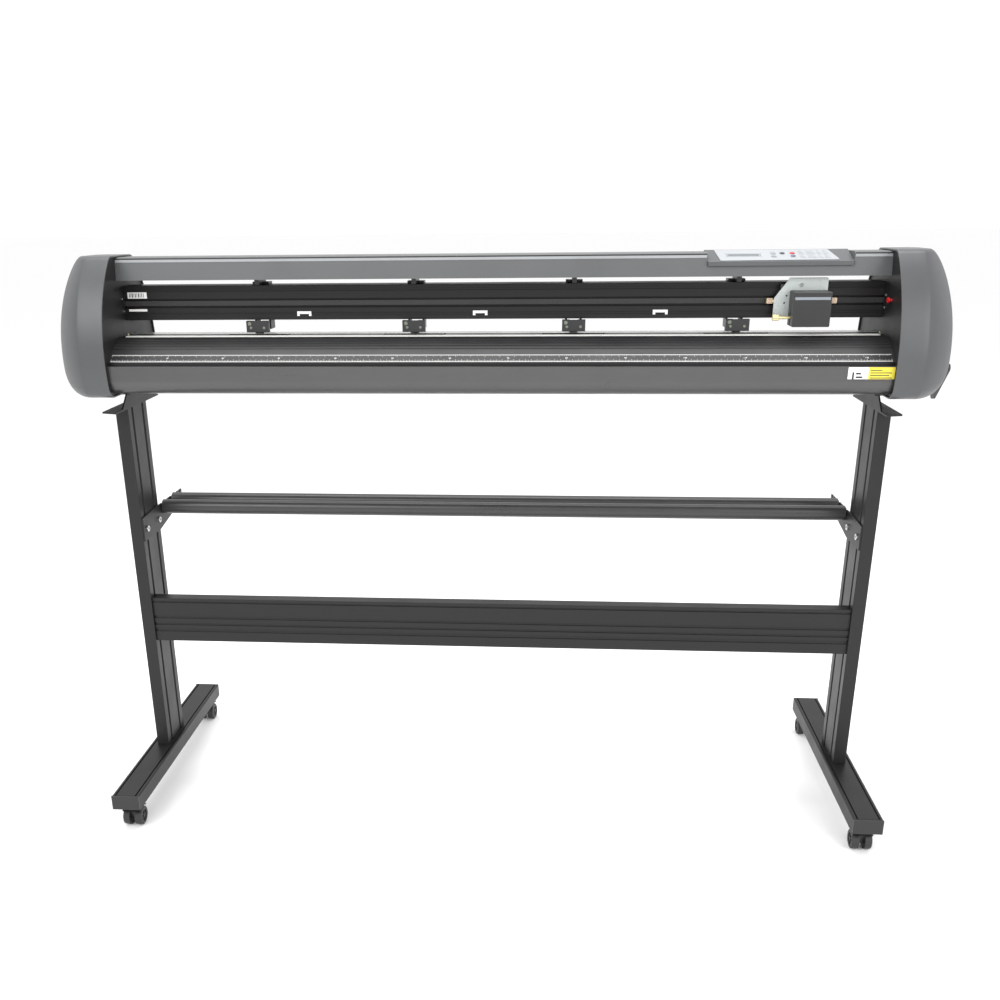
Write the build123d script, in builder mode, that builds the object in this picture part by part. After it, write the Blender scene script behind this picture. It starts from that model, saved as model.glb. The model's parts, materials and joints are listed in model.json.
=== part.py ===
"""Vinyl cutter on a wheeled stand.

Frame: millimetres, +Z up, +X to the operator's right, the operator stands on the -Y side.
The origin is on the floor, under the middle of the machine.
"""
from build123d import *
from math import cos, radians, sin, sqrt
import os

# ---------------------------------------------------------------- driving dimensions
MEDIA_WIDTH = 1350.0          # clear width between the two side plates
SHEET = 3.0                   # thickness of the bent and cut steel plates
RUN = 0.05                    # radial clearance of a running fit
GAP = 0.3                     # clearance between pieces that move past each other
OVER = 1.0                    # how far a cut runs past the face it opens

# head
HEAD_BOTTOM = 806.0
HEAD_TOP = 1043.6
HEAD_FLANK_R = 238.0          # the round front and back of the end caps
HEAD_FLANK_Z = 868.0          # height of the deepest point of the flanks
HEAD_HALF_DEPTH = 131.0
CAP_LENGTH = 111.0            # along X, from the lip to the flat end
CAP_REACH = 112.5             # where the shoulders would meet past the flat end
CAP_TOP_START = 59.0          # where each shoulder starts to draw in, from the lip
CAP_TOP_DROP = 187.0
CAP_TOP_POWER = 1.9
CAP_LOW_START = 49.5
CAP_LOW_RISE = 38.0
CAP_LOW_POWER = 2.0
CAP_SIDE_START = 43.0
CAP_SIDE_DEPTH = 87.0
CAP_SIDE_POWER = 1.32
CAP_SHARES = (0.0, 0.385, 0.45, 0.54, 0.63, 0.71, 0.78, 0.84, 0.89, 0.93, 0.963, 0.987, 1.0)
CAP_CORNER_R = 24.0
CAP_WALL = 3.0
CAP_LIP = 3.0                 # how far the cap stands over the side plate

# top cover
COVER_BOTTOM = 1001.0
COVER_TOP = 1040.2
COVER_FRONT_Y = -28.0
COVER_LEAN = 5.0              # how far the top front edge leans back
COVER_BACK_Y = 62.0
COVER_BACK_LEAN = 20.0        # how far the top back edge leans forward
COVER_WALL = 2.5
COVER_EDGE_R = 6.0
COVER_END_STEP = 0.6          # the cover's ends step down under the caps' lips

# control panel
PANEL_X = (367.0, 612.0)
PANEL_BOTTOM = 1018.0
PANEL_BACK_Y = 34.0
PANEL_PROUD = 2.2
PANEL_WALL = 2.5
PANEL_EDGE_R = 2.3
SLOPE_FOOT = 7.0              # upright part of the panel's front under the slope
SLOPE_LAND = 8.0              # level part of the panel's top behind the slope
OVERLAY_X = (386.0, 588.0)
OVERLAY_T = 0.8
OVERLAY_MARGIN = 4.0
OVERLAY_CORNER_R = 3.0
OVERLAY_SKEW = 3.0            # how far the membrane's corners leave a rectangle
OVERLAY_TAPER = 12.0          # how much shorter the membrane is along its top
DISPLAY_X = (401.0, 459.5)
DISPLAY_SHARE = (0.4, 0.61)   # window's lower and upper edge along the slope
DISPLAY_T = 0.5
KEY_R = 4.2
KEY_HEIGHT = 1.4
KEY_TRAVEL = 0.5
KEY_ROWS = ((0.62, (481.0, 496.5, 513.5)), (0.4, (480.5, 513.0)))

# guide beam
BEAM_FRONT_Y = 0.0
BEAM_DEPTH = 52.0
BEAM_Z = (930.0, 990.0)
BEAM_WALL = 4.0
GROOVE_Z = (951.0, 967.0)
GROOVE_DEPTH = 7.0
RAIL_DEPTH = 1.6
RAIL_Z = (980.0, 984.0)
LOWER_RAIL_Z = (938.0, 942.0)

# platen, cutting strip, apron, base
PLATEN_TOP = 904.0
PLATEN_BASE = 862.0
PLATEN_HALF_DEPTH = 109.0
PLATEN_LIP = 6.0
PLATEN_FLAT_HALF = 46.0
PLATEN_SHOULDER = (79.0, 889.0)
PLATEN_WALL = 3.0
RIDGE_WIDTH = 1.6
RIDGE_DEPTH = 1.0
RIDGE_Y = (-57.0, -65.0, -73.0, -81.0)
STRIP_Y = (-41.0, -21.0)
STRIP_T = 2.5
STRIP_PROUD = 1.0
STRIP_SHORT = 10.0
APRON_FRONT_Y = -121.0
APRON_LEAN = 2.5
APRON_BOTTOM = 812.0
APRON_BACK_Y = -80.0
APRON_R = 27.0
APRON_WALL = 3.0
TRAY_HALF_DEPTH = 76.0
TRAY_HEIGHT = 42.0

# grit shaft and feed drive
GRIT_R = 10.0
GRIT_TOP_ABOVE_PLATEN = 1.3
SHAFT_UNDER_PLATEN = 0.7      # shaft's top under the platen's upper wall
GRIT_BAND = 46.0
SHAFT_STUB = 6.0              # shaft's left end past the side plate
WINDOW_MARGIN = 3.0
BUSH_R = 11.0
BUSH_FLANGE_R = 15.0
BUSH_FLANGE_T = 2.0
GRIT_PULLEY_R = 30.0
FEED_PULLEY_R = 10.0
PULLEY_WIDTH = 12.0
FEED_PULLEY_GAP = 13.0        # side plate to the pulleys' inner face
FEED_MOTOR_Y = 60.0
FEED_MOTOR_Z = 850.0
MOTOR_SIDE = 56.0
MOTOR_LENGTH = 40.0
MOTOR_SHAFT_R = 3.175
BELT_T = 1.5
BELT_WIDTH = 9.0

# carriage drive
DRIVE_R = 14.0                # belt pulleys at the two ends of the beam
DRIVE_BELT_Y = 3.6            # middle of the belt's front run
DRIVE_PULLEY_X = 33.0         # side plate to pulley axis
DRIVE_HEIGHT = 14.0
SHELF_DROP = 8.0              # idler shelf under the beam's groove
SHELF_RISE = 5.0              # motor shelf over the groove
SHAFT_ROOM = 2.0              # clearance round a motor shaft in its bracket
BELT_ROOM = 2.0
FLANGE_PROUD = 2.0
FLANGE_T = 1.0
MOTOR_CHAMFER = 3.0
MOTOR_TRIM = 4.0              # how much shorter the carriage motor is towards the cap

# carriage
CARRIAGE_PLATE_X = (486.0, 575.0)
CARRIAGE_PLATE_Z = (934.0, 997.0)
CARRIAGE_PLATE_Y = -12.0
CARRIAGE_CHAMFER_X = 24.0
CARRIAGE_CHAMFER_Z = 33.0
CARRIAGE_FOLD = 15.0          # depth of the plate's folded top, from its front
FOLD_START = 26.0
FOLD_SLOTS = 4
FOLD_SLOT_PITCH = 12.0
FOLD_SLOT = (8.0, 4.0)
FOLD_SLOT_START = 32.0
PLATE_HOLES = ((17.9, 22.0), (20.9, 34.0))
PLATE_HOLE_R = 1.6
PLATE_SCREW_T = 2.0
PLATE_SCREW_DROP = 11.0
PLATE_SCREW_R = 3.0
SHOE_LENGTH = 24.0
SHOE_PROUD = 3.0              # how far a shoe reaches past its rail groove
SHOE_INSETS = (22.0, 14.0)    # shoe middles from the plate's left and right edges
TOOL_COVER_X = (512.0, 575.0)
TOOL_COVER_Z = (919.0, 977.0)
TOOL_COVER_FRONT_Y = -52.0
TOOL_COVER_WALL = 2.2
TOOL_COVER_R = 2.0
TOOL_COVER_CHAMFER = 2.0
CLAMP_LENGTH = 11.0
CLAMP_SIZE = 10.0
CLAMP_Y = (-8.0, 0.6)
CLAMP_OFF_RIGHT = 8.5         # gap between the plate's right edge and its clamp
CLAMP_CHAMFER = 1.5
CLAMP_BAR = 4.0
CLAMP_BAR_BACK = -5.0
CLAMP_BAR_LAP = 2.0

# tool
TOOL_Y = -33.0
TOOL_CLEAR = 10.5             # blade tip over the cutting strip, at rest
SLIDE_HALF = 14.0
SLIDE_FRONT = 10.0            # slide's front face from the tool's axis
SLIDE_Z = (928.0, 950.0)
SLIDE_BACK_T = 4.0
SLIDE_BACK_TOP = 962.0
HOLDER_R = 6.0
HOLDER_TOP = 956.0
COLLAR_R = 8.0
COLLAR_Z = (950.0, 958.0)
NOSE_HEIGHT = 5.0
NOSE_R = 3.0
NOSE_ABOVE_TIP = 3.0
BLADE_R = 1.0
BLADE_TOP = 939.5
BLADE_EDGE = 3.0
BLADE_T = 0.8
CLAMP_SCREW_Z = 933.0
CLAMP_SCREW_R = 2.5
CLAMP_KNOB_R = 5.0
CLAMP_KNOB_X = (482.0, 493.0)
CLAMP_SLOT_TOP = 941.0

# pinch units
PINCH_X = (-427.5, -142.5, 142.5, 427.5)
PINCH_R = 8.0
MEDIA_ALLOWANCE = 0.4
PINCH_SLIDE = 60.0
HANGER_WIDTH = 30.0
ARM_WIDTH = 22.0
ARM_PIVOT_Y = 34.0
ARM_PIVOT_Z = 917.0
ARM_FRONT_Y = -13.5
ARM_Z = (-5.0, 4.0)           # arm's underside and top from its pivot
ARM_HEAD_Z = (-8.0, 12.0)
ARM_HEAD_WIDTH = 41.0
ARM_HEAD_DEPTH = 10.0
ARM_TAIL = 4.0                # how far the arm reaches past the lifting shaft's axis
ARM_BOSS_R = 2.5
ARM_BOSS_OUT = 1.0
ARM_BOSS_X = 12.0
WHEEL_ROOM = 1.5
HANGER_T = 4.0
HANGER_DROP = 11.0            # hanger's lower edge over the arm's pivot
HANGER_HOOK_Y = 30.0
TONGUE_WIDTH = 8.0
TONGUE_Y = 2.0
EAR_T = 3.7
EAR_HALF = 7.0
EAR_DROP = 6.0
PIVOT_R = 2.0
WHEEL_WIDTH = 14.0
WHEEL_AXLE_R = 2.0

# lifting gear
LIFT_Y = 68.0
LIFT_Z = 930.0
LIFT_R = 10.0
LIFT_FLAT = 5.0
LIFT_JOURNAL_R = 5.0
LEVER_Y = -33.0
LEVER_Z = 848.0
LEVER_LENGTH = 74.0
LEVER_ANGLE = -47.0           # degrees below the horizontal, pointing backwards
LEVER_T = 5.5
LEVER_STUB_R = 5.0
LEVER_STUB = 30.0
LEVER_WIDTH = 14.0
LEVER_OFF = 1.5               # gap between the right cap and the lever
LIFT_SHAFT_END = 10.0
LIFT_END_GAP = 1.0

# stop plunger
STOP_Y = -45.0
STOP_Z = 962.0
STOP_R = 4.5
STOP_STEM_R = 2.5
STOP_OUT = 7.0
STOP_TRAVEL = 4.0
STOP_TAIL = 8.0               # stem's length inside the right cap

# stand
FLOOR_TO_FOOT = 50.0
FOOT_HEIGHT = 29.0
FOOT_INSET = 13.0             # foot's inner edge inside the post's inner face
FOOT_WIDTH = 53.0
FOOT_LENGTH = 516.0
FOOT_CAP_T = 4.0
FOOT_GROOVE = 3.0
FOOT_WALL = 3.0
FOOT_CHAMFER = 2.0
FOOT_GROOVE_INSET = 7.0
FOOT_SOLID_END = 60.0         # solid length at each end, round the caster's stem
FOOT_CAP_R = 1.5
POST_WIDTH = 24.0
POST_DEPTH = 94.0
POST_WALL = 3.0
POST_GROOVE = 2.5
POST_GROOVES_Y = ((-30.0, -22.0), (22.0, 30.0))
BEAM_BAR_Z = (312.0, 402.0)
BEAM_BAR_Y = (-42.0, -16.0)
BEAM_BAR_GROOVE = 2.5
BEAM_BAR_GROOVES = ((20.0, 26.0), (34.0, 38.0), (48.0, 53.0), (81.0, 84.0))
HEAD_BRACKET_Z = 780.0
HEAD_BRACKET_REACH = 29.0
HEAD_BRACKET_FRONT = -112.0
HEAD_BRACKET_BACK = 105.0
HEAD_BRACKET_LAP = 4.0        # bracket's inner edge past the post's inner face
HEAD_BRACKET_SKEW = 9.0
HEAD_BRACKET_WAIST = 60.0     # y of the bracket's outer back corner
HEAD_BRACKET_FOOT = -78.0     # y of the upright web's lower and upper front corners
HEAD_BRACKET_HEAD = -52.0
HEAD_BRACKET_TAIL = 8.0       # upright web's back edge in front of the bracket's
HEAD_BRACKET_FLANGE = 6.0     # top flange past the upright web
ROLL_BOLT_Y = (-31.0, 34.0)
ROLL_BOLT_Z = 542.0
ROLL_AXIS_Z = 561.0
ROLL_AXIS_Y = (65.0, 122.0)
ROLL_R = 14.2
ROLL_SPIGOT_R = 5.0
ROLL_ARM_END = 180.0
ROLL_ARM_TOP = 569.0
ROLL_ARM_FRONT = (-46.0, 566.0)
ROLL_ARM_LOW = 520.0          # lower edge at the post
ROLL_ARM_BEND_Y = 40.0        # where the lower edge starts to rise
ROLL_ARM_TIP_LOW = 546.0
ROLL_ARM_RAMP_Y = 20.0
ROLL_TEETH = (28.0, 44.0)     # small notches behind the back roller's axis
ROLL_TOOTH = (6.0, 10.0)
ROLL_MOUTH = 20.0             # height of the slot over a roller's axis
ROLL_WALL = 2.0
ROLL_PLAY = 2.0               # tube's end to the bracket
ROLL_PLUG = 8.0               # solid length at each end of a tube
ROLL_SPIGOT_OUT = 3.0         # spigot's end past the bracket's outer face
BOLT_HEAD_R = 6.0
BOLT_HEAD_T = 4.0
BOLT_R = 3.0
BAR_BOLT_INSET = 20.0         # crossbeam bolts from its lower and upper edges
WALL_SCREWS = ((-10.0, 968.0), (-8.0, 947.0), (-30.0, 880.0))
WALL_SCREW_R = 3.0
WALL_SCREW_T = 1.5

# casters
CASTER_R = 18.0
CASTER_TRAIL = 9.0
CASTER_FROM_END = 27.5
CASTER_WHEEL = 13.0
CASTER_YOKE = 10.0
CASTER_STEM_R = 5.0
CASTER_STEM_UP = 16.0
CASTER_AXLE_R = 3.0
CASTER_DISC_R = 15.0          # swivel disc under the foot
CASTER_DISC_T = 4.0
CASTER_TYRE_R = 2.5
CASTER_HUB_R = 4.0
CASTER_RIM = 7.0              # tyre's edge to the dished side
CASTER_DISH = 2.0
HOOD_INNER = 2.0              # hood's inner and outer face off the tyre
HOOD_OUTER = 4.5
HOOD_LOW = 16.0               # hood's lower edge over the axle
# yoke's side outline: (from the swivel axis, from the axle) in y, and its heights
YOKE_TOP_Y = (-9.0, 14.0)
YOKE_LOW_Y = (-5.0, 6.0)
YOKE_BACK_Y = 10.0
YOKE_AXLE_Z = 6.0             # outline's reach under and over the axle

# electronics
BOARD_OFF = 10.0              # board off the side plate
BOARD_T = 2.0
BOARD_HALF = 60.0
BOARD_Z = (968.0, 1008.0)
BOARD_INSET = 7.0
BOARD_POST_R = 3.0
SUPPLY_X = 50.0
SUPPLY_Y = (-88.0, -20.0)
SUPPLY_Z = (832.0, 925.0)
SOCKET_Z = 864.0
SOCKET_W = 28.0
SOCKET_H = 24.0
SOCKET_FLANGE_W = 36.0
SOCKET_FLANGE_H = 29.0
SOCKET_FLANGE_T = 7.0
SOCKET_BODY = 24.0
SOCKET_DEPTH = 12.0
SOCKET_HOLE_W = 18.0
SOCKET_HOLE_H = 14.0
PIN_PITCH = 5.0
PIN_R = 1.2
PIN_SHORT = 3.0               # pins stand back from the flange's face

# ---------------------------------------------------------------- derived dimensions
WALL_X = MEDIA_WIDTH / 2                    # inner face of a side plate
PLATE_OUT = WALL_X + SHEET                  # outer face of a side plate
CAP_IN = WALL_X - CAP_LIP                   # where a cap's lip starts
CAP_OUT = CAP_IN + CAP_LENGTH
FLANK_Y = HEAD_FLANK_R - HEAD_HALF_DEPTH
SHAFT_Z = PLATEN_TOP + GRIT_TOP_ABOVE_PLATEN - GRIT_R
SHAFT_R = PLATEN_TOP - PLATEN_WALL - SHAFT_UNDER_PLATEN - SHAFT_Z
WHEEL_Z = SHAFT_Z + GRIT_R + MEDIA_ALLOWANCE + PINCH_R
POST_X = WALL_X                             # inner face of a post
FOOT_X = (POST_X - FOOT_INSET, POST_X - FOOT_INSET + FOOT_WIDTH)
FOOT_TOP = FLOOR_TO_FOOT + FOOT_HEIGHT
POST_TOP = HEAD_BRACKET_Z - SHEET
FOOT_MID_X = (FOOT_X[0] + FOOT_X[1]) / 2
BELT_MID_Z = (GROOVE_Z[0] + GROOVE_Z[1]) / 2
DRIVE_Y = DRIVE_BELT_Y + DRIVE_R + BELT_T / 2
DRIVE_X = PLATE_OUT + DRIVE_PULLEY_X
SHELF_Z = GROOVE_Z[1] + SHELF_RISE          # underside of the carriage motor's shelf
FEED_X = PLATE_OUT + FEED_PULLEY_GAP
FEED_MOTOR_X = FEED_X + PULLEY_WIDTH + GAP + SHEET
LEVER_X = CAP_OUT + LEVER_OFF
TOOL_X = (TOOL_COVER_X[0] + TOOL_COVER_X[1]) / 2
TOOL_TIP = PLATEN_TOP + STRIP_PROUD + TOOL_CLEAR

os.makedirs("parts", exist_ok=True)


def save(builder, name):
    """Label a finished piece and write it."""
    builder.part.label = name
    export_step(builder.part, f"parts/{name}.step")


def block(x, y, z, mode=Mode.ADD):
    """A rectangular block between the limits given on each axis."""
    middle = ((x[0] + x[1]) / 2, (y[0] + y[1]) / 2, (z[0] + z[1]) / 2)
    with Locations(middle):
        Box(x[1] - x[0], y[1] - y[0], z[1] - z[0], mode=mode)


def rod_x(x, y, z, radius, mode=Mode.ADD):
    """A round rod along X between the two x values."""
    with Locations(Location(((x[0] + x[1]) / 2, y, z), (0, 90, 0))):
        Cylinder(radius, x[1] - x[0], mode=mode)


def rod_y(x, y, z, radius, mode=Mode.ADD):
    """A round rod along Y between the two y values."""
    with Locations(Location((x, (y[0] + y[1]) / 2, z), (90, 0, 0))):
        Cylinder(radius, y[1] - y[0], mode=mode)


def rod_z(x, y, z, radius, mode=Mode.ADD):
    """A round rod along Z between the two z values."""
    with Locations((x, y, (z[0] + z[1]) / 2)):
        Cylinder(radius, z[1] - z[0], mode=mode)


def flank(z, inset):
    """Half depth of the head's outline at height z, inset from its outer face."""
    return sqrt((HEAD_FLANK_R - inset) ** 2 - (z - HEAD_FLANK_Z) ** 2) - FLANK_Y


# ---------------------------------------------------------------- head shell
def head_block(inset, start, end):
    """Solid of the head's side outline between two x values, inset by a wall."""
    low = HEAD_BOTTOM + inset
    high = HEAD_TOP - inset
    with BuildPart() as head:
        with BuildSketch(Plane.YZ.offset(start)):
            with BuildLine():
                front = ThreePointArc((-flank(low, inset), low),
                                      (-flank(HEAD_FLANK_Z, inset), HEAD_FLANK_Z),
                                      (-flank(high, inset), high))
                top = Line(front @ 1, (flank(high, inset), high))
                back = ThreePointArc(top @ 1, (flank(HEAD_FLANK_Z, inset), HEAD_FLANK_Z),
                                     (flank(low, inset), low))
                Line(back @ 1, front @ 0)
            make_face()
        extrude(amount=end - start)
        fillet(head.edges().filter_by(Axis.X), CAP_CORNER_R - inset)
    return head.part


def rounded_reach(share, power):
    """Share of the full size left at a share of the way out along a rounded shoulder."""
    return (1 - share ** power) ** (1 / power)


def shoulder(along, start, size, power):
    """How far a rounded shoulder has drawn in at a distance along the cap from its lip."""
    share = min(max((along - start) / (CAP_REACH - start), 0.0), 1.0)
    return size * (1 - rounded_reach(share, power))


def cap_block(inset):
    """Solid of the right cap's outside, inset by a wall on every side but the open one."""
    with BuildPart() as cap:
        for share in CAP_SHARES:
            along = share * CAP_LENGTH
            top_drop = shoulder(along, CAP_TOP_START, CAP_TOP_DROP, CAP_TOP_POWER)
            high = HEAD_TOP - inset - top_drop
            low = HEAD_BOTTOM + inset + shoulder(along, CAP_LOW_START, CAP_LOW_RISE, CAP_LOW_POWER)
            side = inset + shoulder(along, CAP_SIDE_START, CAP_SIDE_DEPTH, CAP_SIDE_POWER)
            middle = (low + high) / 2
            with BuildSketch(Plane.YZ.offset(CAP_IN + share * (CAP_LENGTH - inset))):
                with BuildLine():
                    front = ThreePointArc((-flank(low, side), low), (-flank(middle, side), middle),
                                          (-flank(high, side), high))
                    top = Line(front @ 1, (flank(high, side), high))
                    back = ThreePointArc(top @ 1, (flank(middle, side), middle),
                                         (flank(low, side), low))
                    Line(back @ 1, front @ 0)
                make_face()
                fillet(vertices(), CAP_CORNER_R - inset)
        loft(ruled=True)
    return cap.part


def end_caps():
    """The two moulded end housings, open towards the machine's middle."""
    with BuildPart() as caps:
        add(cap_block(0))
        add(cap_block(CAP_WALL), mode=Mode.SUBTRACT)
        rod_x((CAP_IN, CAP_OUT), LEVER_Y, LEVER_Z, LEVER_STUB_R + GAP, mode=Mode.SUBTRACT)
    with BuildPart() as both:
        add(caps.part)
        mirror(about=Plane.YZ)
        socket_hole(Mode.SUBTRACT)
    save(both, "end_caps")


def socket_hole(mode):
    """Opening for the mains inlet in the left cap's outer side."""
    block((-CAP_OUT, -CAP_OUT + SOCKET_DEPTH), (-SOCKET_W / 2, SOCKET_W / 2),
          (SOCKET_Z - SOCKET_H / 2, SOCKET_Z + SOCKET_H / 2), mode=mode)


def side_plates():
    """The two steel side plates with the shelves that carry the drives."""
    window = DRIVE_R + BELT_T + BELT_ROOM
    half = MOTOR_SIDE / 2
    shelf_x = (PLATE_OUT, DRIVE_X + half)
    idler_z = (GROOVE_Z[0] - SHELF_DROP - SHEET, GROOVE_Z[0] - SHELF_DROP)
    feed_y = (FEED_MOTOR_Y - half, FEED_MOTOR_Y + half)
    feed_z = (FEED_MOTOR_Z - half, FEED_MOTOR_Z + half)
    shaft_hole = MOTOR_SHAFT_R + SHAFT_ROOM
    with BuildPart() as right:
        add(head_block(CAP_WALL + GAP, WALL_X, PLATE_OUT))
        rod_x((WALL_X, PLATE_OUT), 0, SHAFT_Z, BUSH_R, mode=Mode.SUBTRACT)
        rod_x((WALL_X, PLATE_OUT), LIFT_Y, LIFT_Z, LIFT_JOURNAL_R + RUN, mode=Mode.SUBTRACT)
        block((WALL_X, PLATE_OUT), (DRIVE_Y - window, DRIVE_Y + window), GROOVE_Z,
              mode=Mode.SUBTRACT)
    with BuildPart() as plates:
        add(right.part)
        mirror(about=Plane.YZ)
        # motor shelf of the carriage drive, on the right
        block(shelf_x, (DRIVE_Y - half, DRIVE_Y + half), (SHELF_Z, SHELF_Z + SHEET))
        rod_z(DRIVE_X, DRIVE_Y, (SHELF_Z, SHELF_Z + SHEET), shaft_hole, mode=Mode.SUBTRACT)
        # idler shelf and its fixed pin, on the left
        block((-shelf_x[1], -shelf_x[0]), (DRIVE_Y - DRIVE_R, DRIVE_Y + DRIVE_R), idler_z)
        rod_z(-DRIVE_X, DRIVE_Y, (idler_z[0], BELT_MID_Z + DRIVE_HEIGHT), MOTOR_SHAFT_R)
        # feed motor bracket: a face plate and its foot on the right side plate
        block((FEED_MOTOR_X - SHEET, FEED_MOTOR_X), feed_y, feed_z)
        block((PLATE_OUT, FEED_MOTOR_X), feed_y, (feed_z[0] - SHEET, feed_z[0]))
        rod_x((FEED_MOTOR_X - SHEET, FEED_MOTOR_X), FEED_MOTOR_Y, FEED_MOTOR_Z, shaft_hole,
              mode=Mode.SUBTRACT)
        # stop plunger's hole, on the right
        rod_x((WALL_X, PLATE_OUT), STOP_Y, STOP_Z, STOP_STEM_R + RUN, mode=Mode.SUBTRACT)
    save(plates, "side_plates")


def cover_outline(inset):
    """Corner points of the top cover's cross-section, front bottom first."""
    return [(COVER_FRONT_Y + inset, COVER_BOTTOM + inset),
            (COVER_FRONT_Y + COVER_LEAN + inset, COVER_TOP - inset),
            (COVER_BACK_Y - COVER_BACK_LEAN - inset, COVER_TOP - inset),
            (COVER_BACK_Y - inset, COVER_BOTTOM + inset)]


def top_cover():
    """Hollow extruded cover between the side plates, notched for the panel and webbed there."""
    with BuildPart() as cover:
        with BuildSketch(Plane.YZ.offset(-WALL_X)):
            Polygon(*cover_outline(0), align=None)
            fillet(vertices().group_by(Axis.Y)[-1], COVER_EDGE_R)
            with BuildSketch(mode=Mode.SUBTRACT):
                Polygon(*cover_outline(COVER_WALL), align=None)
                fillet(vertices().group_by(Axis.Y)[-1], COVER_EDGE_R - COVER_WALL)
        extrude(amount=MEDIA_WIDTH)
        block(PANEL_X, (COVER_FRONT_Y, PANEL_BACK_Y), (PANEL_BOTTOM, COVER_TOP),
              mode=Mode.SUBTRACT)
        for web_x in (PANEL_X[0] - COVER_WALL, PANEL_X[1]):
            with BuildSketch(Plane.YZ.offset(web_x)):
                Polygon(*cover_outline(0), align=None)
                fillet(vertices().group_by(Axis.Y)[-1], COVER_EDGE_R)
            extrude(amount=COVER_WALL)
        for ends in ((-WALL_X, GAP - CAP_IN), (CAP_IN - GAP, WALL_X)):
            block(ends, (COVER_FRONT_Y, COVER_BACK_Y), (COVER_TOP - COVER_END_STEP, COVER_TOP),
                  mode=Mode.SUBTRACT)
    save(cover, "top_cover")


# ---------------------------------------------------------------- control panel
SLOPE_LOW = (COVER_FRONT_Y - PANEL_PROUD, PANEL_BOTTOM + SLOPE_FOOT)
SLOPE_HIGH = (PANEL_BACK_Y - SLOPE_LAND, COVER_TOP + PANEL_PROUD)
SLOPE_RUN = SLOPE_HIGH[0] - SLOPE_LOW[0]
SLOPE_RISE = SLOPE_HIGH[1] - SLOPE_LOW[1]
SLOPE_LENGTH = sqrt(SLOPE_RUN ** 2 + SLOPE_RISE ** 2)
# the panel's own plane: x along the machine, y up the slope, z out of the panel
PANEL_PLANE = Plane(origin=(0, SLOPE_LOW[0], SLOPE_LOW[1]), x_dir=(1, 0, 0),
                    z_dir=(0, -SLOPE_RISE, SLOPE_RUN))


def panel_housing():
    """Moulded surround that fills the notch in the cover and slopes to the operator."""
    inner_low = (COVER_FRONT_Y + PANEL_WALL, PANEL_BOTTOM)
    with BuildPart() as housing:
        with BuildSketch(Plane.YZ.offset(PANEL_X[0] + GAP)):
            with BuildLine():
                Polyline((SLOPE_LOW[0], PANEL_BOTTOM + GAP), SLOPE_LOW, SLOPE_HIGH,
                         (PANEL_BACK_Y - GAP, COVER_TOP + PANEL_PROUD),
                         (PANEL_BACK_Y - GAP, PANEL_BOTTOM + GAP),
                         (SLOPE_LOW[0], PANEL_BOTTOM + GAP))
            make_face()
            with BuildLine():
                Polyline((inner_low[0], inner_low[1]),
                         (inner_low[0], SLOPE_LOW[1] - PANEL_WALL),
                         (SLOPE_HIGH[0], SLOPE_HIGH[1] - 2 * PANEL_WALL),
                         (PANEL_BACK_Y - PANEL_WALL, SLOPE_HIGH[1] - 2 * PANEL_WALL),
                         (PANEL_BACK_Y - PANEL_WALL, inner_low[1]), inner_low)
            make_face(mode=Mode.SUBTRACT)
        extrude(amount=PANEL_X[1] - PANEL_X[0] - 2 * GAP)
        lower = housing.edges().filter_by(Axis.Z).group_by(Axis.Y)[0]
        fillet(lower, PANEL_EDGE_R)
    save(housing, "panel_housing")


def overlay_face():
    """Corners of the silver membrane on the panel's plane: wider at the bottom."""
    low = OVERLAY_MARGIN
    high = SLOPE_LENGTH - OVERLAY_MARGIN / 2
    return [(OVERLAY_X[0] + OVERLAY_SKEW, low), (OVERLAY_X[1], low + OVERLAY_SKEW),
            (OVERLAY_X[1] - OVERLAY_TAPER, high), (OVERLAY_X[0] - OVERLAY_SKEW, high)]


def panel_overlay():
    """Membrane sheet with its window, and the display behind the window."""
    window_y = (SLOPE_LENGTH * DISPLAY_SHARE[0], SLOPE_LENGTH * DISPLAY_SHARE[1])
    middle = ((DISPLAY_X[0] + DISPLAY_X[1]) / 2, (window_y[0] + window_y[1]) / 2)
    size = (DISPLAY_X[1] - DISPLAY_X[0], window_y[1] - window_y[0])
    with BuildPart() as overlay:
        with BuildSketch(PANEL_PLANE):
            Polygon(*overlay_face(), align=None)
            fillet(vertices(), OVERLAY_CORNER_R)
            with Locations(middle):
                Rectangle(*size, mode=Mode.SUBTRACT)
            for share, places in KEY_ROWS:
                with Locations(*[(x, SLOPE_LENGTH * share) for x in places]):
                    Circle(KEY_R + GAP, mode=Mode.SUBTRACT)
        extrude(amount=OVERLAY_T)
        with BuildSketch(PANEL_PLANE):
            with Locations(middle):
                Rectangle(size[0] - GAP, size[1] - GAP)
        extrude(amount=DISPLAY_T)
    save(overlay, "panel_overlay")


def keypad():
    """The five key tops; they rest on the sloped face with their travel to spare."""
    with BuildPart() as keys:
        with BuildSketch(PANEL_PLANE.offset(KEY_TRAVEL + GAP / 3)):
            for share, places in KEY_ROWS:
                with Locations(*[(x, SLOPE_LENGTH * share) for x in places]):
                    Circle(KEY_R)
        extrude(amount=KEY_HEIGHT)
    save(keys, "keypad")


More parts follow.
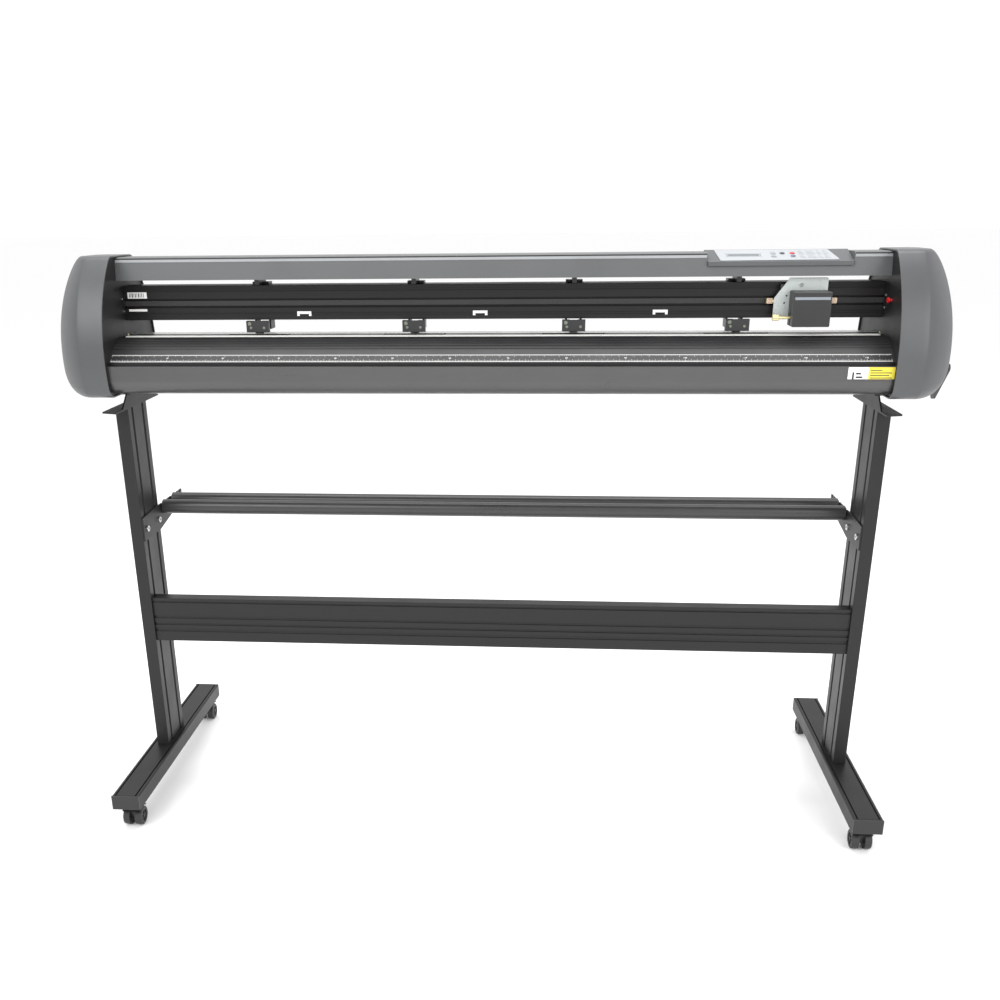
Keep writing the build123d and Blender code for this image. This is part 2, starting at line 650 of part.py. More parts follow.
# ---------------------------------------------------------------- beam, platen, covers
def guide_beam():
    """Hollow extruded beam with the belt groove and two rail grooves in its front."""
    back = BEAM_FRONT_Y + BEAM_DEPTH
    span = (-WALL_X, WALL_X)
    inner_y = (BEAM_FRONT_Y + GROOVE_DEPTH + BEAM_WALL, back - BEAM_WALL)
    with BuildPart() as beam:
        block(span, (BEAM_FRONT_Y, back), BEAM_Z)
        block(span, inner_y, (BEAM_Z[0] + BEAM_WALL, BEAM_Z[1] - BEAM_WALL), mode=Mode.SUBTRACT)
        block(span, (BEAM_FRONT_Y, BEAM_FRONT_Y + GROOVE_DEPTH), GROOVE_Z, mode=Mode.SUBTRACT)
        for rail in (RAIL_Z, LOWER_RAIL_Z):
            block(span, (BEAM_FRONT_Y, BEAM_FRONT_Y + RAIL_DEPTH), rail, mode=Mode.SUBTRACT)
    save(beam, "guide_beam")


def platen():
    """Hollow extruded table: lip with the rule, ridged rise, flat top, windows for grit."""
    lip = PLATEN_BASE + PLATEN_LIP
    half = PLATEN_HALF_DEPTH
    flat = PLATEN_FLAT_HALF
    rise_in = (PLATEN_SHOULDER[0] - PLATEN_WALL, PLATEN_SHOULDER[1] - PLATEN_WALL)
    window = GRIT_R + WINDOW_MARGIN
    with BuildPart() as table:
        with BuildSketch(Plane.YZ.offset(-WALL_X)):
            with BuildLine():
                front = ThreePointArc((-half, lip), (-PLATEN_SHOULDER[0], PLATEN_SHOULDER[1]),
                                      (-flat, PLATEN_TOP))
                top = Line(front @ 1, (flat, PLATEN_TOP))
                back = ThreePointArc(top @ 1, PLATEN_SHOULDER, (half, lip))
                Polyline(back @ 1, (half, PLATEN_BASE), (-half, PLATEN_BASE), front @ 0)
            make_face()
            with BuildLine():
                low = PLATEN_BASE + PLATEN_WALL
                inner = ThreePointArc((-half + 3 * PLATEN_WALL, low), (-rise_in[0], rise_in[1]),
                                      (-flat, PLATEN_TOP - PLATEN_WALL))
                across = Line(inner @ 1, (flat, PLATEN_TOP - PLATEN_WALL))
                fall = ThreePointArc(across @ 1, rise_in, (half - 3 * PLATEN_WALL, low))
                Line(fall @ 1, inner @ 0)
            make_face(mode=Mode.SUBTRACT)
        extrude(amount=MEDIA_WIDTH)
        for x in PINCH_X:
            reach = GRIT_BAND / 2 + PINCH_SLIDE / 2 + WINDOW_MARGIN
            block((x - reach, x + reach), (-window, window), (PLATEN_TOP - 2 * PLATEN_WALL,
                  PLATEN_TOP + OVER), mode=Mode.SUBTRACT)
        block((-WALL_X, WALL_X), STRIP_Y, (PLATEN_TOP - STRIP_T + STRIP_PROUD, PLATEN_TOP + OVER),
              mode=Mode.SUBTRACT)
        for y in RIDGE_Y:
            block((-WALL_X, WALL_X), (y - RIDGE_WIDTH / 2, y + RIDGE_WIDTH / 2),
                  (platen_height(y) - RIDGE_DEPTH, PLATEN_TOP), mode=Mode.SUBTRACT)
    save(table, "platen")


def platen_height(y):
    """Height of the platen's ridged front rise at a given y, by its chord."""
    low = (-PLATEN_HALF_DEPTH, PLATEN_BASE + PLATEN_LIP)
    mid = (-PLATEN_SHOULDER[0], PLATEN_SHOULDER[1])
    high = (-PLATEN_FLAT_HALF, PLATEN_TOP)
    start, end = (low, mid) if y < mid[0] else (mid, high)
    return start[1] + (end[1] - start[1]) * (y - start[0]) / (end[0] - start[0])


def cutting_strip():
    """Soft strip that the blade runs on, set in the platen's groove."""
    with BuildPart() as strip:
        block((-WALL_X + STRIP_SHORT, WALL_X - STRIP_SHORT), (STRIP_Y[0] + GAP, STRIP_Y[1] - GAP),
              (PLATEN_TOP - STRIP_T + STRIP_PROUD, PLATEN_TOP + STRIP_PROUD))
    save(strip, "cutting_strip")


def apron_outline(inset):
    """Corners of the front apron's cross-section, top front first."""
    return [(APRON_FRONT_Y + inset, PLATEN_BASE - inset),
            (APRON_FRONT_Y + APRON_LEAN + inset, APRON_BOTTOM + inset)]


def front_apron():
    """Rounded front cover below the platen, with flanges at its top and bottom."""
    with BuildPart() as apron:
        with BuildSketch(Plane.YZ.offset(-WALL_X)):
            top, low = apron_outline(0)
            Polygon(top, low, (APRON_BACK_Y, low[1]), (APRON_BACK_Y, top[1]), align=None)
            front = vertices().sort_by(Axis.X)[:2].sort_by(Axis.Y)
            fillet(front[0], APRON_R)
            fillet(front[1], APRON_WALL / 2)
            with BuildSketch(mode=Mode.SUBTRACT):
                top_in, low_in = apron_outline(APRON_WALL)
                Polygon(top_in, low_in, (APRON_BACK_Y + OVER, low_in[1]), (APRON_BACK_Y + OVER, top_in[1]),
                        align=None)
                fillet(vertices().sort_by(Axis.X)[:2].sort_by(Axis.Y)[0], APRON_R - APRON_WALL)
        extrude(amount=MEDIA_WIDTH)
    save(apron, "front_apron")


def base_tray():
    """Bent steel tray that ties the side plates together under the platen."""
    span = (-WALL_X, WALL_X)
    low = HEAD_BOTTOM + CAP_WALL + GAP
    with BuildPart() as tray:
        block(span, (-TRAY_HALF_DEPTH, TRAY_HALF_DEPTH), (low, low + TRAY_HEIGHT))
        block(span, (-TRAY_HALF_DEPTH + SHEET, TRAY_HALF_DEPTH - SHEET),
              (low + SHEET, low + TRAY_HEIGHT), mode=Mode.SUBTRACT)
    save(tray, "base_tray")


# ---------------------------------------------------------------- drives
def shaft_bushes():
    """Flanged bushes of the grit shaft in the side plates."""
    with BuildPart() as bushes:
        outer = PLATE_OUT + BUSH_FLANGE_T
        rod_x((PLATE_OUT, outer), 0, SHAFT_Z, BUSH_FLANGE_R)
        rod_x((WALL_X, outer), 0, SHAFT_Z, BUSH_R)
        rod_x((WALL_X, outer), 0, SHAFT_Z, SHAFT_R + RUN, mode=Mode.SUBTRACT)
        mirror(about=Plane.YZ)
    save(bushes, "shaft_bushes")


def grit_shaft():
    """The feed shaft with its knurled grit bands."""
    left_end = -PLATE_OUT - SHAFT_STUB
    right_end = FEED_X + PULLEY_WIDTH + OVER
    with BuildPart() as shaft:
        rod_x((left_end, right_end), 0, SHAFT_Z, SHAFT_R)
        for x in PINCH_X:
            half = GRIT_BAND / 2 + PINCH_SLIDE / 2
            rod_x((x - half, x + half), 0, SHAFT_Z, GRIT_R)
    save(shaft, "grit_shaft")


def toothed_rim(radius, width, plane):
    """A belt pulley's body: a rim between two flanges, centred on a plane."""
    with BuildPart() as pulley:
        with BuildSketch(plane.offset(-width / 2)):
            Circle(radius)
        extrude(amount=width)
        for start in (-width / 2, width / 2 - FLANGE_T):
            with BuildSketch(plane.offset(start)):
                Circle(radius + FLANGE_PROUD)
            extrude(amount=FLANGE_T)
    return pulley.part


def across_x(x, y, z):
    """Plane square to X through a point."""
    return Plane(origin=(x, y, z), x_dir=(0, 1, 0), z_dir=(1, 0, 0))


def pulleys():
    """The feed pair on the right side plate and the carriage drive pair."""
    feed_mid = FEED_X + PULLEY_WIDTH / 2
    with BuildPart() as big:
        add(toothed_rim(GRIT_PULLEY_R, PULLEY_WIDTH, across_x(feed_mid, 0, SHAFT_Z)))
        rod_x((FEED_X, FEED_X + PULLEY_WIDTH), 0, SHAFT_Z, SHAFT_R, mode=Mode.SUBTRACT)
    save(big, "grit_pulley")
    with BuildPart() as small:
        add(toothed_rim(FEED_PULLEY_R, PULLEY_WIDTH,
                        across_x(feed_mid, FEED_MOTOR_Y, FEED_MOTOR_Z)))
        rod_x((FEED_X, FEED_X + PULLEY_WIDTH), FEED_MOTOR_Y, FEED_MOTOR_Z,
              MOTOR_SHAFT_R + RUN, mode=Mode.SUBTRACT)
    save(small, "feed_pulley")
    for name, x in (("drive_pulley", DRIVE_X), ("idler_pulley", -DRIVE_X)):
        with BuildPart() as wheel:
            add(toothed_rim(DRIVE_R, DRIVE_HEIGHT, Plane(origin=(x, DRIVE_Y, BELT_MID_Z))))
            rod_z(x, DRIVE_Y, (BELT_MID_Z - DRIVE_HEIGHT, BELT_MID_Z + DRIVE_HEIGHT),
                  MOTOR_SHAFT_R + RUN, mode=Mode.SUBTRACT)
        save(wheel, name)


def drive_motors():
    """The carriage motor and the feed motor, with their shafts."""
    top = SHELF_Z + SHEET
    half = MOTOR_SIDE / 2
    with BuildPart() as motors:
        block((DRIVE_X - half, DRIVE_X + half - MOTOR_TRIM), (DRIVE_Y - half, DRIVE_Y + half),
              (top, top + MOTOR_LENGTH))
        block((FEED_MOTOR_X, FEED_MOTOR_X + MOTOR_LENGTH),
              (FEED_MOTOR_Y - half, FEED_MOTOR_Y + half), (FEED_MOTOR_Z - half, FEED_MOTOR_Z + half))
        upright = motors.edges().filter_by(Axis.Z)
        level = motors.edges().filter_by(Axis.X)
        chamfer(upright.filter_by_position(Axis.Z, top, top + MOTOR_LENGTH)
                + level.filter_by_position(Axis.Z, 0, top - OVER), MOTOR_CHAMFER)
        rod_z(DRIVE_X, DRIVE_Y, (BELT_MID_Z - DRIVE_HEIGHT / 2, top), MOTOR_SHAFT_R)
        rod_x((FEED_X, FEED_MOTOR_X), FEED_MOTOR_Y, FEED_MOTOR_Z, MOTOR_SHAFT_R)
    save(motors, "drive_motors")


def carriage_belt():
    """Closed toothed belt of the carriage drive, one run in the beam's groove."""
    inner = DRIVE_R + GAP / 3
    with BuildPart() as belt:
        with BuildSketch(Plane.XY.offset(BELT_MID_Z - BELT_WIDTH / 2)):
            with Locations((0, DRIVE_Y)):
                SlotCenterToCenter(2 * DRIVE_X, 2 * (inner + BELT_T))
                SlotCenterToCenter(2 * DRIVE_X, 2 * inner, mode=Mode.SUBTRACT)
        extrude(amount=BELT_WIDTH)
    return belt.part


def feed_belt():
    """Closed belt from the feed motor up to the grit shaft's pulley."""
    hub = (FEED_MOTOR_Y, FEED_MOTOR_Z)
    shaft = (0.0, SHAFT_Z)
    span = sqrt((hub[0] - shaft[0]) ** 2 + (hub[1] - shaft[1]) ** 2)
    along = ((hub[0] - shaft[0]) / span, (hub[1] - shaft[1]) / span)
    across = (-along[1], along[0])
    lift = (GRIT_PULLEY_R - FEED_PULLEY_R) / span
    side = sqrt(1 - lift ** 2)
    with BuildPart() as belt:
        with BuildSketch(Plane.YZ.offset(FEED_X + (PULLEY_WIDTH - BELT_WIDTH) / 2)):
            for grow, mode in ((GAP / 3 + BELT_T, Mode.ADD), (GAP / 3, Mode.SUBTRACT)):
                big = GRIT_PULLEY_R + grow
                small = FEED_PULLEY_R + grow
                tangents = []
                for sign in (1, -1):
                    normal = (along[0] * lift + sign * across[0] * side,
                              along[1] * lift + sign * across[1] * side)
                    tangents.append([(shaft[0] + big * normal[0], shaft[1] + big * normal[1]),
                                     (hub[0] + small * normal[0], hub[1] + small * normal[1])])
                far = (hub[0] + small * along[0], hub[1] + small * along[1])
                near = (shaft[0] - big * along[0], shaft[1] - big * along[1])
                with BuildLine():
                    Line(*tangents[0])
                    ThreePointArc(tangents[0][1], far, tangents[1][1])
                    Line(tangents[1][1], tangents[1][0])
                    ThreePointArc(tangents[1][0], near, tangents[0][0])
                make_face(mode=mode)
        extrude(amount=BELT_WIDTH)
    return belt.part


def drive_belts():
    """Both toothed belts, as two separate loops."""
    with BuildPart() as belts:
        add(carriage_belt())
        add(feed_belt())
    save(belts, "drive_belts")


def electronics():
    """Control board on posts and power supply in the left cap, with the mains inlet."""
    inner = -PLATE_OUT
    board_x = (inner - BOARD_OFF - BOARD_T, inner - BOARD_OFF)
    with BuildPart() as boards:
        block(board_x, (-BOARD_HALF, BOARD_HALF), BOARD_Z)
        for y in (BOARD_INSET - BOARD_HALF, BOARD_HALF - BOARD_INSET):
            for z in (BOARD_Z[0] + BOARD_INSET, BOARD_Z[1] - BOARD_INSET):
                rod_x((board_x[1], inner), y, z, BOARD_POST_R)
        block((inner - SUPPLY_X, inner), SUPPLY_Y, SUPPLY_Z)
        block((-CAP_OUT - SOCKET_FLANGE_T, -CAP_OUT), (-SOCKET_FLANGE_W / 2, SOCKET_FLANGE_W / 2),
              (SOCKET_Z - SOCKET_FLANGE_H / 2, SOCKET_Z + SOCKET_FLANGE_H / 2))
        block((-CAP_OUT, -CAP_OUT + SOCKET_BODY), (-SOCKET_W / 2 + GAP, SOCKET_W / 2 - GAP),
              (SOCKET_Z - SOCKET_H / 2 + GAP, SOCKET_Z + SOCKET_H / 2 - GAP))
        block((-CAP_OUT - SOCKET_FLANGE_T, -CAP_OUT + SOCKET_DEPTH),
              (-SOCKET_HOLE_W / 2, SOCKET_HOLE_W / 2),
              (SOCKET_Z - SOCKET_HOLE_H / 2, SOCKET_Z + SOCKET_HOLE_H / 2), mode=Mode.SUBTRACT)
        for y in (-PIN_PITCH, 0, PIN_PITCH):
            rod_x((-CAP_OUT - SOCKET_FLANGE_T + PIN_SHORT, -CAP_OUT + SOCKET_DEPTH), y, SOCKET_Z, PIN_R)
    save(boards, "electronics")


# ---------------------------------------------------------------- carriage
def carriage():
    """Carriage plate, slide shoes and belt clamps; they move together along the beam."""
    front = CARRIAGE_PLATE_Y - SHEET
    x0, x1 = CARRIAGE_PLATE_X
    z0, z1 = CARRIAGE_PLATE_Z
    fold_z = (z1 - SHEET, z1)
    with BuildPart() as plate:
        with BuildSketch(Plane.XZ.offset(-CARRIAGE_PLATE_Y)):
            Polygon((x0, z0), (x1, z0), (x1, z1), (x0 + CARRIAGE_CHAMFER_X, z1),
                    (x0, z1 - CARRIAGE_CHAMFER_Z), align=None)
        extrude(amount=SHEET)
        block((x0 + FOLD_START, x1), (front, front + CARRIAGE_FOLD), fold_z)
        with Locations((x0 + FOLD_SLOT_START, front + CARRIAGE_FOLD / 2, z1 - SHEET / 2)):
            with GridLocations(FOLD_SLOT_PITCH, 0, FOLD_SLOTS, 1, align=(Align.MIN, Align.CENTER)):
                Box(*FOLD_SLOT, SHEET, mode=Mode.SUBTRACT)
        for x, z in PLATE_HOLES:
            rod_y(x0 + x, (front, front + SHEET), z0 + z, PLATE_HOLE_R, mode=Mode.SUBTRACT)
        rod_y((x0 + x1) / 2, (front - PLATE_SCREW_T, front), z1 - PLATE_SCREW_DROP, PLATE_SCREW_R)
    save(plate, "carriage_plate")
    half = SHOE_LENGTH / 2
    with BuildPart() as shoes:
        for rail in (RAIL_Z, LOWER_RAIL_Z):
            for x in (x0 + SHOE_INSETS[0], x1 - SHOE_INSETS[1]):
                block((x - half, x + half), (CARRIAGE_PLATE_Y, BEAM_FRONT_Y - GAP),
                      (rail[0] - SHOE_PROUD, rail[1] + SHOE_PROUD))
                block((x - half, x + half), (BEAM_FRONT_Y - GAP, BEAM_FRONT_Y + RAIL_DEPTH - GAP),
                      (rail[0] + GAP, rail[1] - GAP))
    save(shoes, "slide_shoes")
    size = CLAMP_SIZE / 2
    right = x1 + CLAMP_OFF_RIGHT
    with BuildPart() as clamps:
        for x in (x0 - CLAMP_LENGTH, right):
            block((x, x + CLAMP_LENGTH), CLAMP_Y, (BELT_MID_Z - size, BELT_MID_Z + size))
        chamfer(clamps.edges().filter_by(Axis.X), CLAMP_CHAMFER)
        block((x0 - CLAMP_BAR_LAP, right + CLAMP_BAR_LAP), (CARRIAGE_PLATE_Y, CLAMP_BAR_BACK),
              (BELT_MID_Z - CLAMP_BAR / 2, BELT_MID_Z + CLAMP_BAR / 2))
    save(clamps, "belt_clamps")


def carriage_cover():
    """Black box cover over the tool, open at its bottom and towards the plate."""
    x0, x1 = TOOL_COVER_X
    z0, z1 = TOOL_COVER_Z
    back = CARRIAGE_PLATE_Y - SHEET
    wall = TOOL_COVER_WALL
    slot = CLAMP_SCREW_R + GAP
    with BuildPart() as cover:
        block((x0, x1), (TOOL_COVER_FRONT_Y, back), (z0, z1))
        front_top = cover.edges().filter_by(Axis.X).group_by(Axis.Y)[0].sort_by(Axis.Z)[-1]
        chamfer(front_top, TOOL_COVER_CHAMFER)
        fillet(cover.edges().filter_by(Axis.Y), TOOL_COVER_R)
        block((x0 + wall, x1 - wall), (TOOL_COVER_FRONT_Y + wall, back), (z0, z1 - wall),
              mode=Mode.SUBTRACT)
        # slot in the left wall for the clamp screw, open at the bottom
        block((x0, x0 + wall), (TOOL_Y - slot, TOOL_Y + slot), (z0, CLAMP_SLOT_TOP),
              mode=Mode.SUBTRACT)
    save(cover, "carriage_cover")


def tool_head():
    """Sprung tool slide, blade holder, blade and the clamp knob."""
    back = CARRIAGE_PLATE_Y - SHEET - GAP
    sides = (TOOL_X - SLIDE_HALF, TOOL_X + SLIDE_HALF)
    with BuildPart() as slide:
        block(sides, (TOOL_Y - SLIDE_FRONT, back), SLIDE_Z)
        block(sides, (back - SLIDE_BACK_T, back), (SLIDE_Z[0], SLIDE_BACK_TOP))
        rod_z(TOOL_X, TOOL_Y, SLIDE_Z, HOLDER_R, mode=Mode.SUBTRACT)
        rod_x((sides[0], TOOL_X), TOOL_Y, CLAMP_SCREW_Z, CLAMP_SCREW_R + RUN, mode=Mode.SUBTRACT)
    save(slide, "tool_slide")
    nose = TOOL_TIP + NOSE_ABOVE_TIP
    with BuildPart() as holder:
        rod_z(TOOL_X, TOOL_Y, (nose + NOSE_HEIGHT, HOLDER_TOP), HOLDER_R)
        with Locations((TOOL_X, TOOL_Y, nose + NOSE_HEIGHT / 2)):
            Cone(NOSE_R, HOLDER_R, NOSE_HEIGHT)
        rod_z(TOOL_X, TOOL_Y, COLLAR_Z, COLLAR_R)
        rod_z(TOOL_X, TOOL_Y, (nose, BLADE_TOP + GAP), BLADE_R + RUN, mode=Mode.SUBTRACT)
    save(holder, "blade_holder")
    with BuildPart() as blade:
        rod_z(TOOL_X, TOOL_Y, (TOOL_TIP + BLADE_EDGE, BLADE_TOP), BLADE_R)
        with BuildSketch(Plane.XZ.offset(-TOOL_Y - BLADE_T / 2)):
            Polygon((TOOL_X - BLADE_R, TOOL_TIP + BLADE_EDGE), (TOOL_X + BLADE_R, TOOL_TIP + BLADE_EDGE),
                    (TOOL_X + BLADE_R / 2, TOOL_TIP), align=None)
        extrude(amount=BLADE_T)
    save(blade, "blade")
    with BuildPart() as knob:
        rod_x(CLAMP_KNOB_X, TOOL_Y, CLAMP_SCREW_Z, CLAMP_KNOB_R)
        rod_x((CLAMP_KNOB_X[1], TOOL_X - HOLDER_R - GAP), TOOL_Y, CLAMP_SCREW_Z, CLAMP_SCREW_R)
    save(knob, "clamp_knob")


# ---------------------------------------------------------------- pinch units
def pinch_unit(number, x):
    """A hanger on the beam, its pivoting arm and the arm's rubber wheel."""
    half = HANGER_WIDTH / 2
    arm = ARM_WIDTH / 2
    back = BEAM_FRONT_Y + BEAM_DEPTH + GAP
    ear = arm + GAP
    hook_z = (BEAM_Z[1] + GAP, BEAM_Z[1] + GAP + HANGER_T)
    with BuildPart() as hanger:
        block((x - half, x + half), (back, back + HANGER_T), (ARM_PIVOT_Z + HANGER_DROP, hook_z[1]))
        block((x - half, x + half), (BEAM_FRONT_Y + HANGER_HOOK_Y, back + HANGER_T), hook_z)
        block((x - TONGUE_WIDTH / 2, x + TONGUE_WIDTH / 2),
              (BEAM_FRONT_Y + TONGUE_Y, back + HANGER_T), (hook_z[0], COVER_BOTTOM - GAP))
        for side in (-1, 1):
            ends = sorted((x + side * ear, x + side * (ear + EAR_T)))
            block(ends, (ARM_PIVOT_Y - EAR_HALF, back + HANGER_T),
                  (ARM_PIVOT_Z - EAR_DROP, BEAM_Z[0] - GAP))
        rod_x((x - ear - EAR_T / 2, x + ear + EAR_T / 2), ARM_PIVOT_Y, ARM_PIVOT_Z, PIVOT_R)
    save(hanger, f"pinch_hanger_{number}")
    slot = WHEEL_WIDTH / 2 + GAP
    room = PINCH_R + WHEEL_ROOM
    head = ARM_HEAD_WIDTH / 2
    arm_z = (ARM_PIVOT_Z + ARM_Z[0], ARM_PIVOT_Z + ARM_Z[1])
    head_z = (ARM_PIVOT_Z + ARM_HEAD_Z[0], ARM_PIVOT_Z + ARM_HEAD_Z[1])
    with BuildPart() as lever:
        block((x - arm, x + arm), (ARM_FRONT_Y + ARM_HEAD_DEPTH, LIFT_Y + ARM_TAIL), arm_z)
        block((x - head, x + head), (ARM_FRONT_Y, ARM_FRONT_Y + ARM_HEAD_DEPTH), head_z)
        block((x - slot, x + slot), (-room, room), head_z, mode=Mode.SUBTRACT)
        rod_x((x - head, x + head), 0, WHEEL_Z, WHEEL_AXLE_R + RUN, mode=Mode.SUBTRACT)
        rod_x((x - arm, x + arm), ARM_PIVOT_Y, ARM_PIVOT_Z, PIVOT_R + RUN, mode=Mode.SUBTRACT)
        for side in (-1, 1):
            rod_y(x + side * ARM_BOSS_X, (ARM_FRONT_Y - ARM_BOSS_OUT, ARM_FRONT_Y), ARM_PIVOT_Z,
                  ARM_BOSS_R)
    save(lever, f"pinch_arm_{number}")
    with BuildPart() as wheel:
        rod_x((x - WHEEL_WIDTH / 2, x + WHEEL_WIDTH / 2), 0, WHEEL_Z, PINCH_R)
        rod_x((x - arm + GAP, x + arm - GAP), 0, WHEEL_Z, WHEEL_AXLE_R)
    save(wheel, f"pinch_wheel_{number}")


def lift_gear():
    """Flatted lifting shaft behind the beam and the operator's lever on the right."""
    end = PLATE_OUT + LIFT_SHAFT_END
    body = WALL_X - LIFT_END_GAP
    with BuildPart() as shaft:
        rod_x((-end, end), LIFT_Y, LIFT_Z, LIFT_JOURNAL_R)
        rod_x((-body, body), LIFT_Y, LIFT_Z, LIFT_R)
        block((-body, body), (LIFT_Y - LIFT_R, LIFT_Y + LIFT_R),
              (LIFT_Z - LIFT_R, LIFT_Z - LIFT_FLAT), mode=Mode.SUBTRACT)
    save(shaft, "lift_shaft")
    middle = LEVER_LENGTH / 2
    with BuildPart() as lever:
        with BuildSketch(Plane.YZ.offset(LEVER_X)):
            with Locations(Location((LEVER_Y + middle * cos(radians(LEVER_ANGLE)),
                                     LEVER_Z + middle * sin(radians(LEVER_ANGLE)), 0),
                                    (0, 0, LEVER_ANGLE))):
                SlotCenterToCenter(LEVER_LENGTH, LEVER_WIDTH)
        extrude(amount=LEVER_T)
        rod_x((CAP_OUT - LEVER_STUB, LEVER_X), LEVER_Y, LEVER_Z, LEVER_STUB_R)
    save(lever, "lift_lever")


def stop_plunger():
    """Red sprung plunger in the right side plate that the carriage meets at its limit."""
    with BuildPart() as plunger:
        rod_x((WALL_X - STOP_OUT, WALL_X - STOP_TRAVEL - GAP), STOP_Y, STOP_Z, STOP_R)
        rod_x((WALL_X - STOP_TRAVEL - GAP - OVER, PLATE_OUT + STOP_TAIL), STOP_Y, STOP_Z, STOP_STEM_R)
    save(plunger, "stop_plunger")


# ---------------------------------------------------------------- stand
def foot_beams():
    """Two hollow extruded feet with a groove along each edge of the top."""
    half = FOOT_LENGTH / 2 - FOOT_CAP_T
    x0, x1 = FOOT_X
    stem = CASTER_STEM_R + RUN
    with BuildPart() as feet:
        block((x0, x1), (-half, half), (FLOOR_TO_FOOT, FOOT_TOP))
        chamfer(feet.edges().filter_by(Axis.Y).group_by(Axis.Z)[-1], FOOT_CHAMFER)
        block((x0 + FOOT_WALL, x1 - FOOT_WALL), (-half + FOOT_SOLID_END, half - FOOT_SOLID_END),
              (FLOOR_TO_FOOT + FOOT_WALL, FOOT_TOP - 2 * FOOT_WALL), mode=Mode.SUBTRACT)
        for x in (x0 + FOOT_GROOVE_INSET, x1 - FOOT_GROOVE_INSET):
            block((x - FOOT_GROOVE / 2, x + FOOT_GROOVE / 2), (-half, half),
                  (FOOT_TOP - FOOT_GROOVE, FOOT_TOP), mode=Mode.SUBTRACT)
        for y in (-FOOT_LENGTH / 2 + CASTER_FROM_END, FOOT_LENGTH / 2 - CASTER_FROM_END):
            rod_z(FOOT_MID_X, y, (FLOOR_TO_FOOT, FLOOR_TO_FOOT + CASTER_STEM_UP + OVER), stem,
                  mode=Mode.SUBTRACT)
        mirror(about=Plane.YZ)
    save(feet, "foot_beams")
    with BuildPart() as ends:
        for y in ((-FOOT_LENGTH / 2, -half), (half, FOOT_LENGTH / 2)):
            block(FOOT_X, y, (FLOOR_TO_FOOT, FOOT_TOP))
        fillet(ends.edges().filter_by(Axis.X), FOOT_CAP_R)
        mirror(about=Plane.YZ)
    save(ends, "foot_end_caps")


def posts():
    """Two hollow extruded posts, grooved on their inner and outer faces."""
    half = POST_DEPTH / 2
    x0, x1 = POST_X, POST_X + POST_WIDTH
    height = (FOOT_TOP, POST_TOP)
    with BuildPart() as uprights:
        block((x0, x1), (-half, half), height)
        block((x0 + POST_WALL + POST_GROOVE, x1 - POST_WALL - POST_GROOVE),
              (-half + POST_WALL, half - POST_WALL), height, mode=Mode.SUBTRACT)
        for x in ((x0, x0 + POST_GROOVE), (x1 - POST_GROOVE, x1)):
            for y in POST_GROOVES_Y:
                block(x, y, height, mode=Mode.SUBTRACT)
        mirror(about=Plane.YZ)
    save(uprights, "posts")


def crossbeam():
    """Ribbed extruded rail between the posts."""
    y0, y1 = BEAM_BAR_Y
    z0, z1 = BEAM_BAR_Z
    span = (-POST_X, POST_X)
    with BuildPart() as rail:
        block(span, (y0, y1), (z0, z1))
        block(span, (y0 + 2 * BEAM_BAR_GROOVE, y1 - BEAM_BAR_GROOVE),
              (z0 + 2 * BEAM_BAR_GROOVE, z1 - 2 * BEAM_BAR_GROOVE), mode=Mode.SUBTRACT)
        for low, high in BEAM_BAR_GROOVES:
            block(span, (y0, y0 + BEAM_BAR_GROOVE), (z0 + low, z0 + high), mode=Mode.SUBTRACT)
    save(rail, "crossbeam")


def head_brackets():
    """Bent plates between the post tops and the head's underside."""
    x0 = POST_X - HEAD_BRACKET_LAP
    x1 = x0 + HEAD_BRACKET_REACH
    z = HEAD_BRACKET_Z
    top = HEAD_BOTTOM - SHEET
    front, back = HEAD_BRACKET_FRONT, HEAD_BRACKET_BACK
    tail = back - HEAD_BRACKET_TAIL
    with BuildPart() as brackets:
        with BuildSketch(Plane.XY.offset(POST_TOP)):
            Polygon((x0, front), (x1, front + HEAD_BRACKET_SKEW), (x1, HEAD_BRACKET_WAIST),
                    (x0, back), align=None)
        extrude(amount=SHEET)
        with BuildSketch(Plane.YZ.offset(x0)):
            Polygon((HEAD_BRACKET_FOOT, z), (tail, z), (tail, top), (HEAD_BRACKET_HEAD, top),
                    align=None)
        extrude(amount=SHEET)
        block((x0 - HEAD_BRACKET_FLANGE, x1 - HEAD_BRACKET_LAP), (HEAD_BRACKET_HEAD, tail),
              (top, HEAD_BOTTOM))
        mirror(about=Plane.YZ)
    save(brackets, "head_brackets")


def roll_brackets():
    """Plates on the posts' inner faces with open slots for the media rollers."""
    x0 = POST_X - SHEET
    slot = ROLL_SPIGOT_R + RUN
    with BuildPart() as arms:
        with BuildSketch(Plane.YZ.offset(x0)):
            Polygon(ROLL_ARM_FRONT, (ROLL_ARM_FRONT[0], ROLL_ARM_LOW), (ROLL_ARM_BEND_Y, ROLL_ARM_LOW),
                    (ROLL_ARM_END, ROLL_ARM_TIP_LOW), (ROLL_ARM_END, ROLL_ARM_TOP),
                    (ROLL_ARM_RAMP_Y, ROLL_ARM_TOP), align=None)
            for y in ROLL_AXIS_Y:
                with Locations((y, ROLL_AXIS_Z)):
                    Circle(slot, mode=Mode.SUBTRACT)
                with Locations((y, ROLL_AXIS_Z + ROLL_MOUTH / 2)):
                    Rectangle(2 * slot, ROLL_MOUTH, mode=Mode.SUBTRACT)
            for off in ROLL_TEETH:
                with Locations((ROLL_AXIS_Y[1] + off, ROLL_ARM_TOP)):
                    Rectangle(*ROLL_TOOTH, mode=Mode.SUBTRACT)
        extrude(amount=SHEET)
        for y in ROLL_BOLT_Y:
            rod_x((x0, POST_X), y, ROLL_BOLT_Z, BOLT_R, mode=Mode.SUBTRACT)
        mirror(about=Plane.YZ)
    save(arms, "roll_brackets")


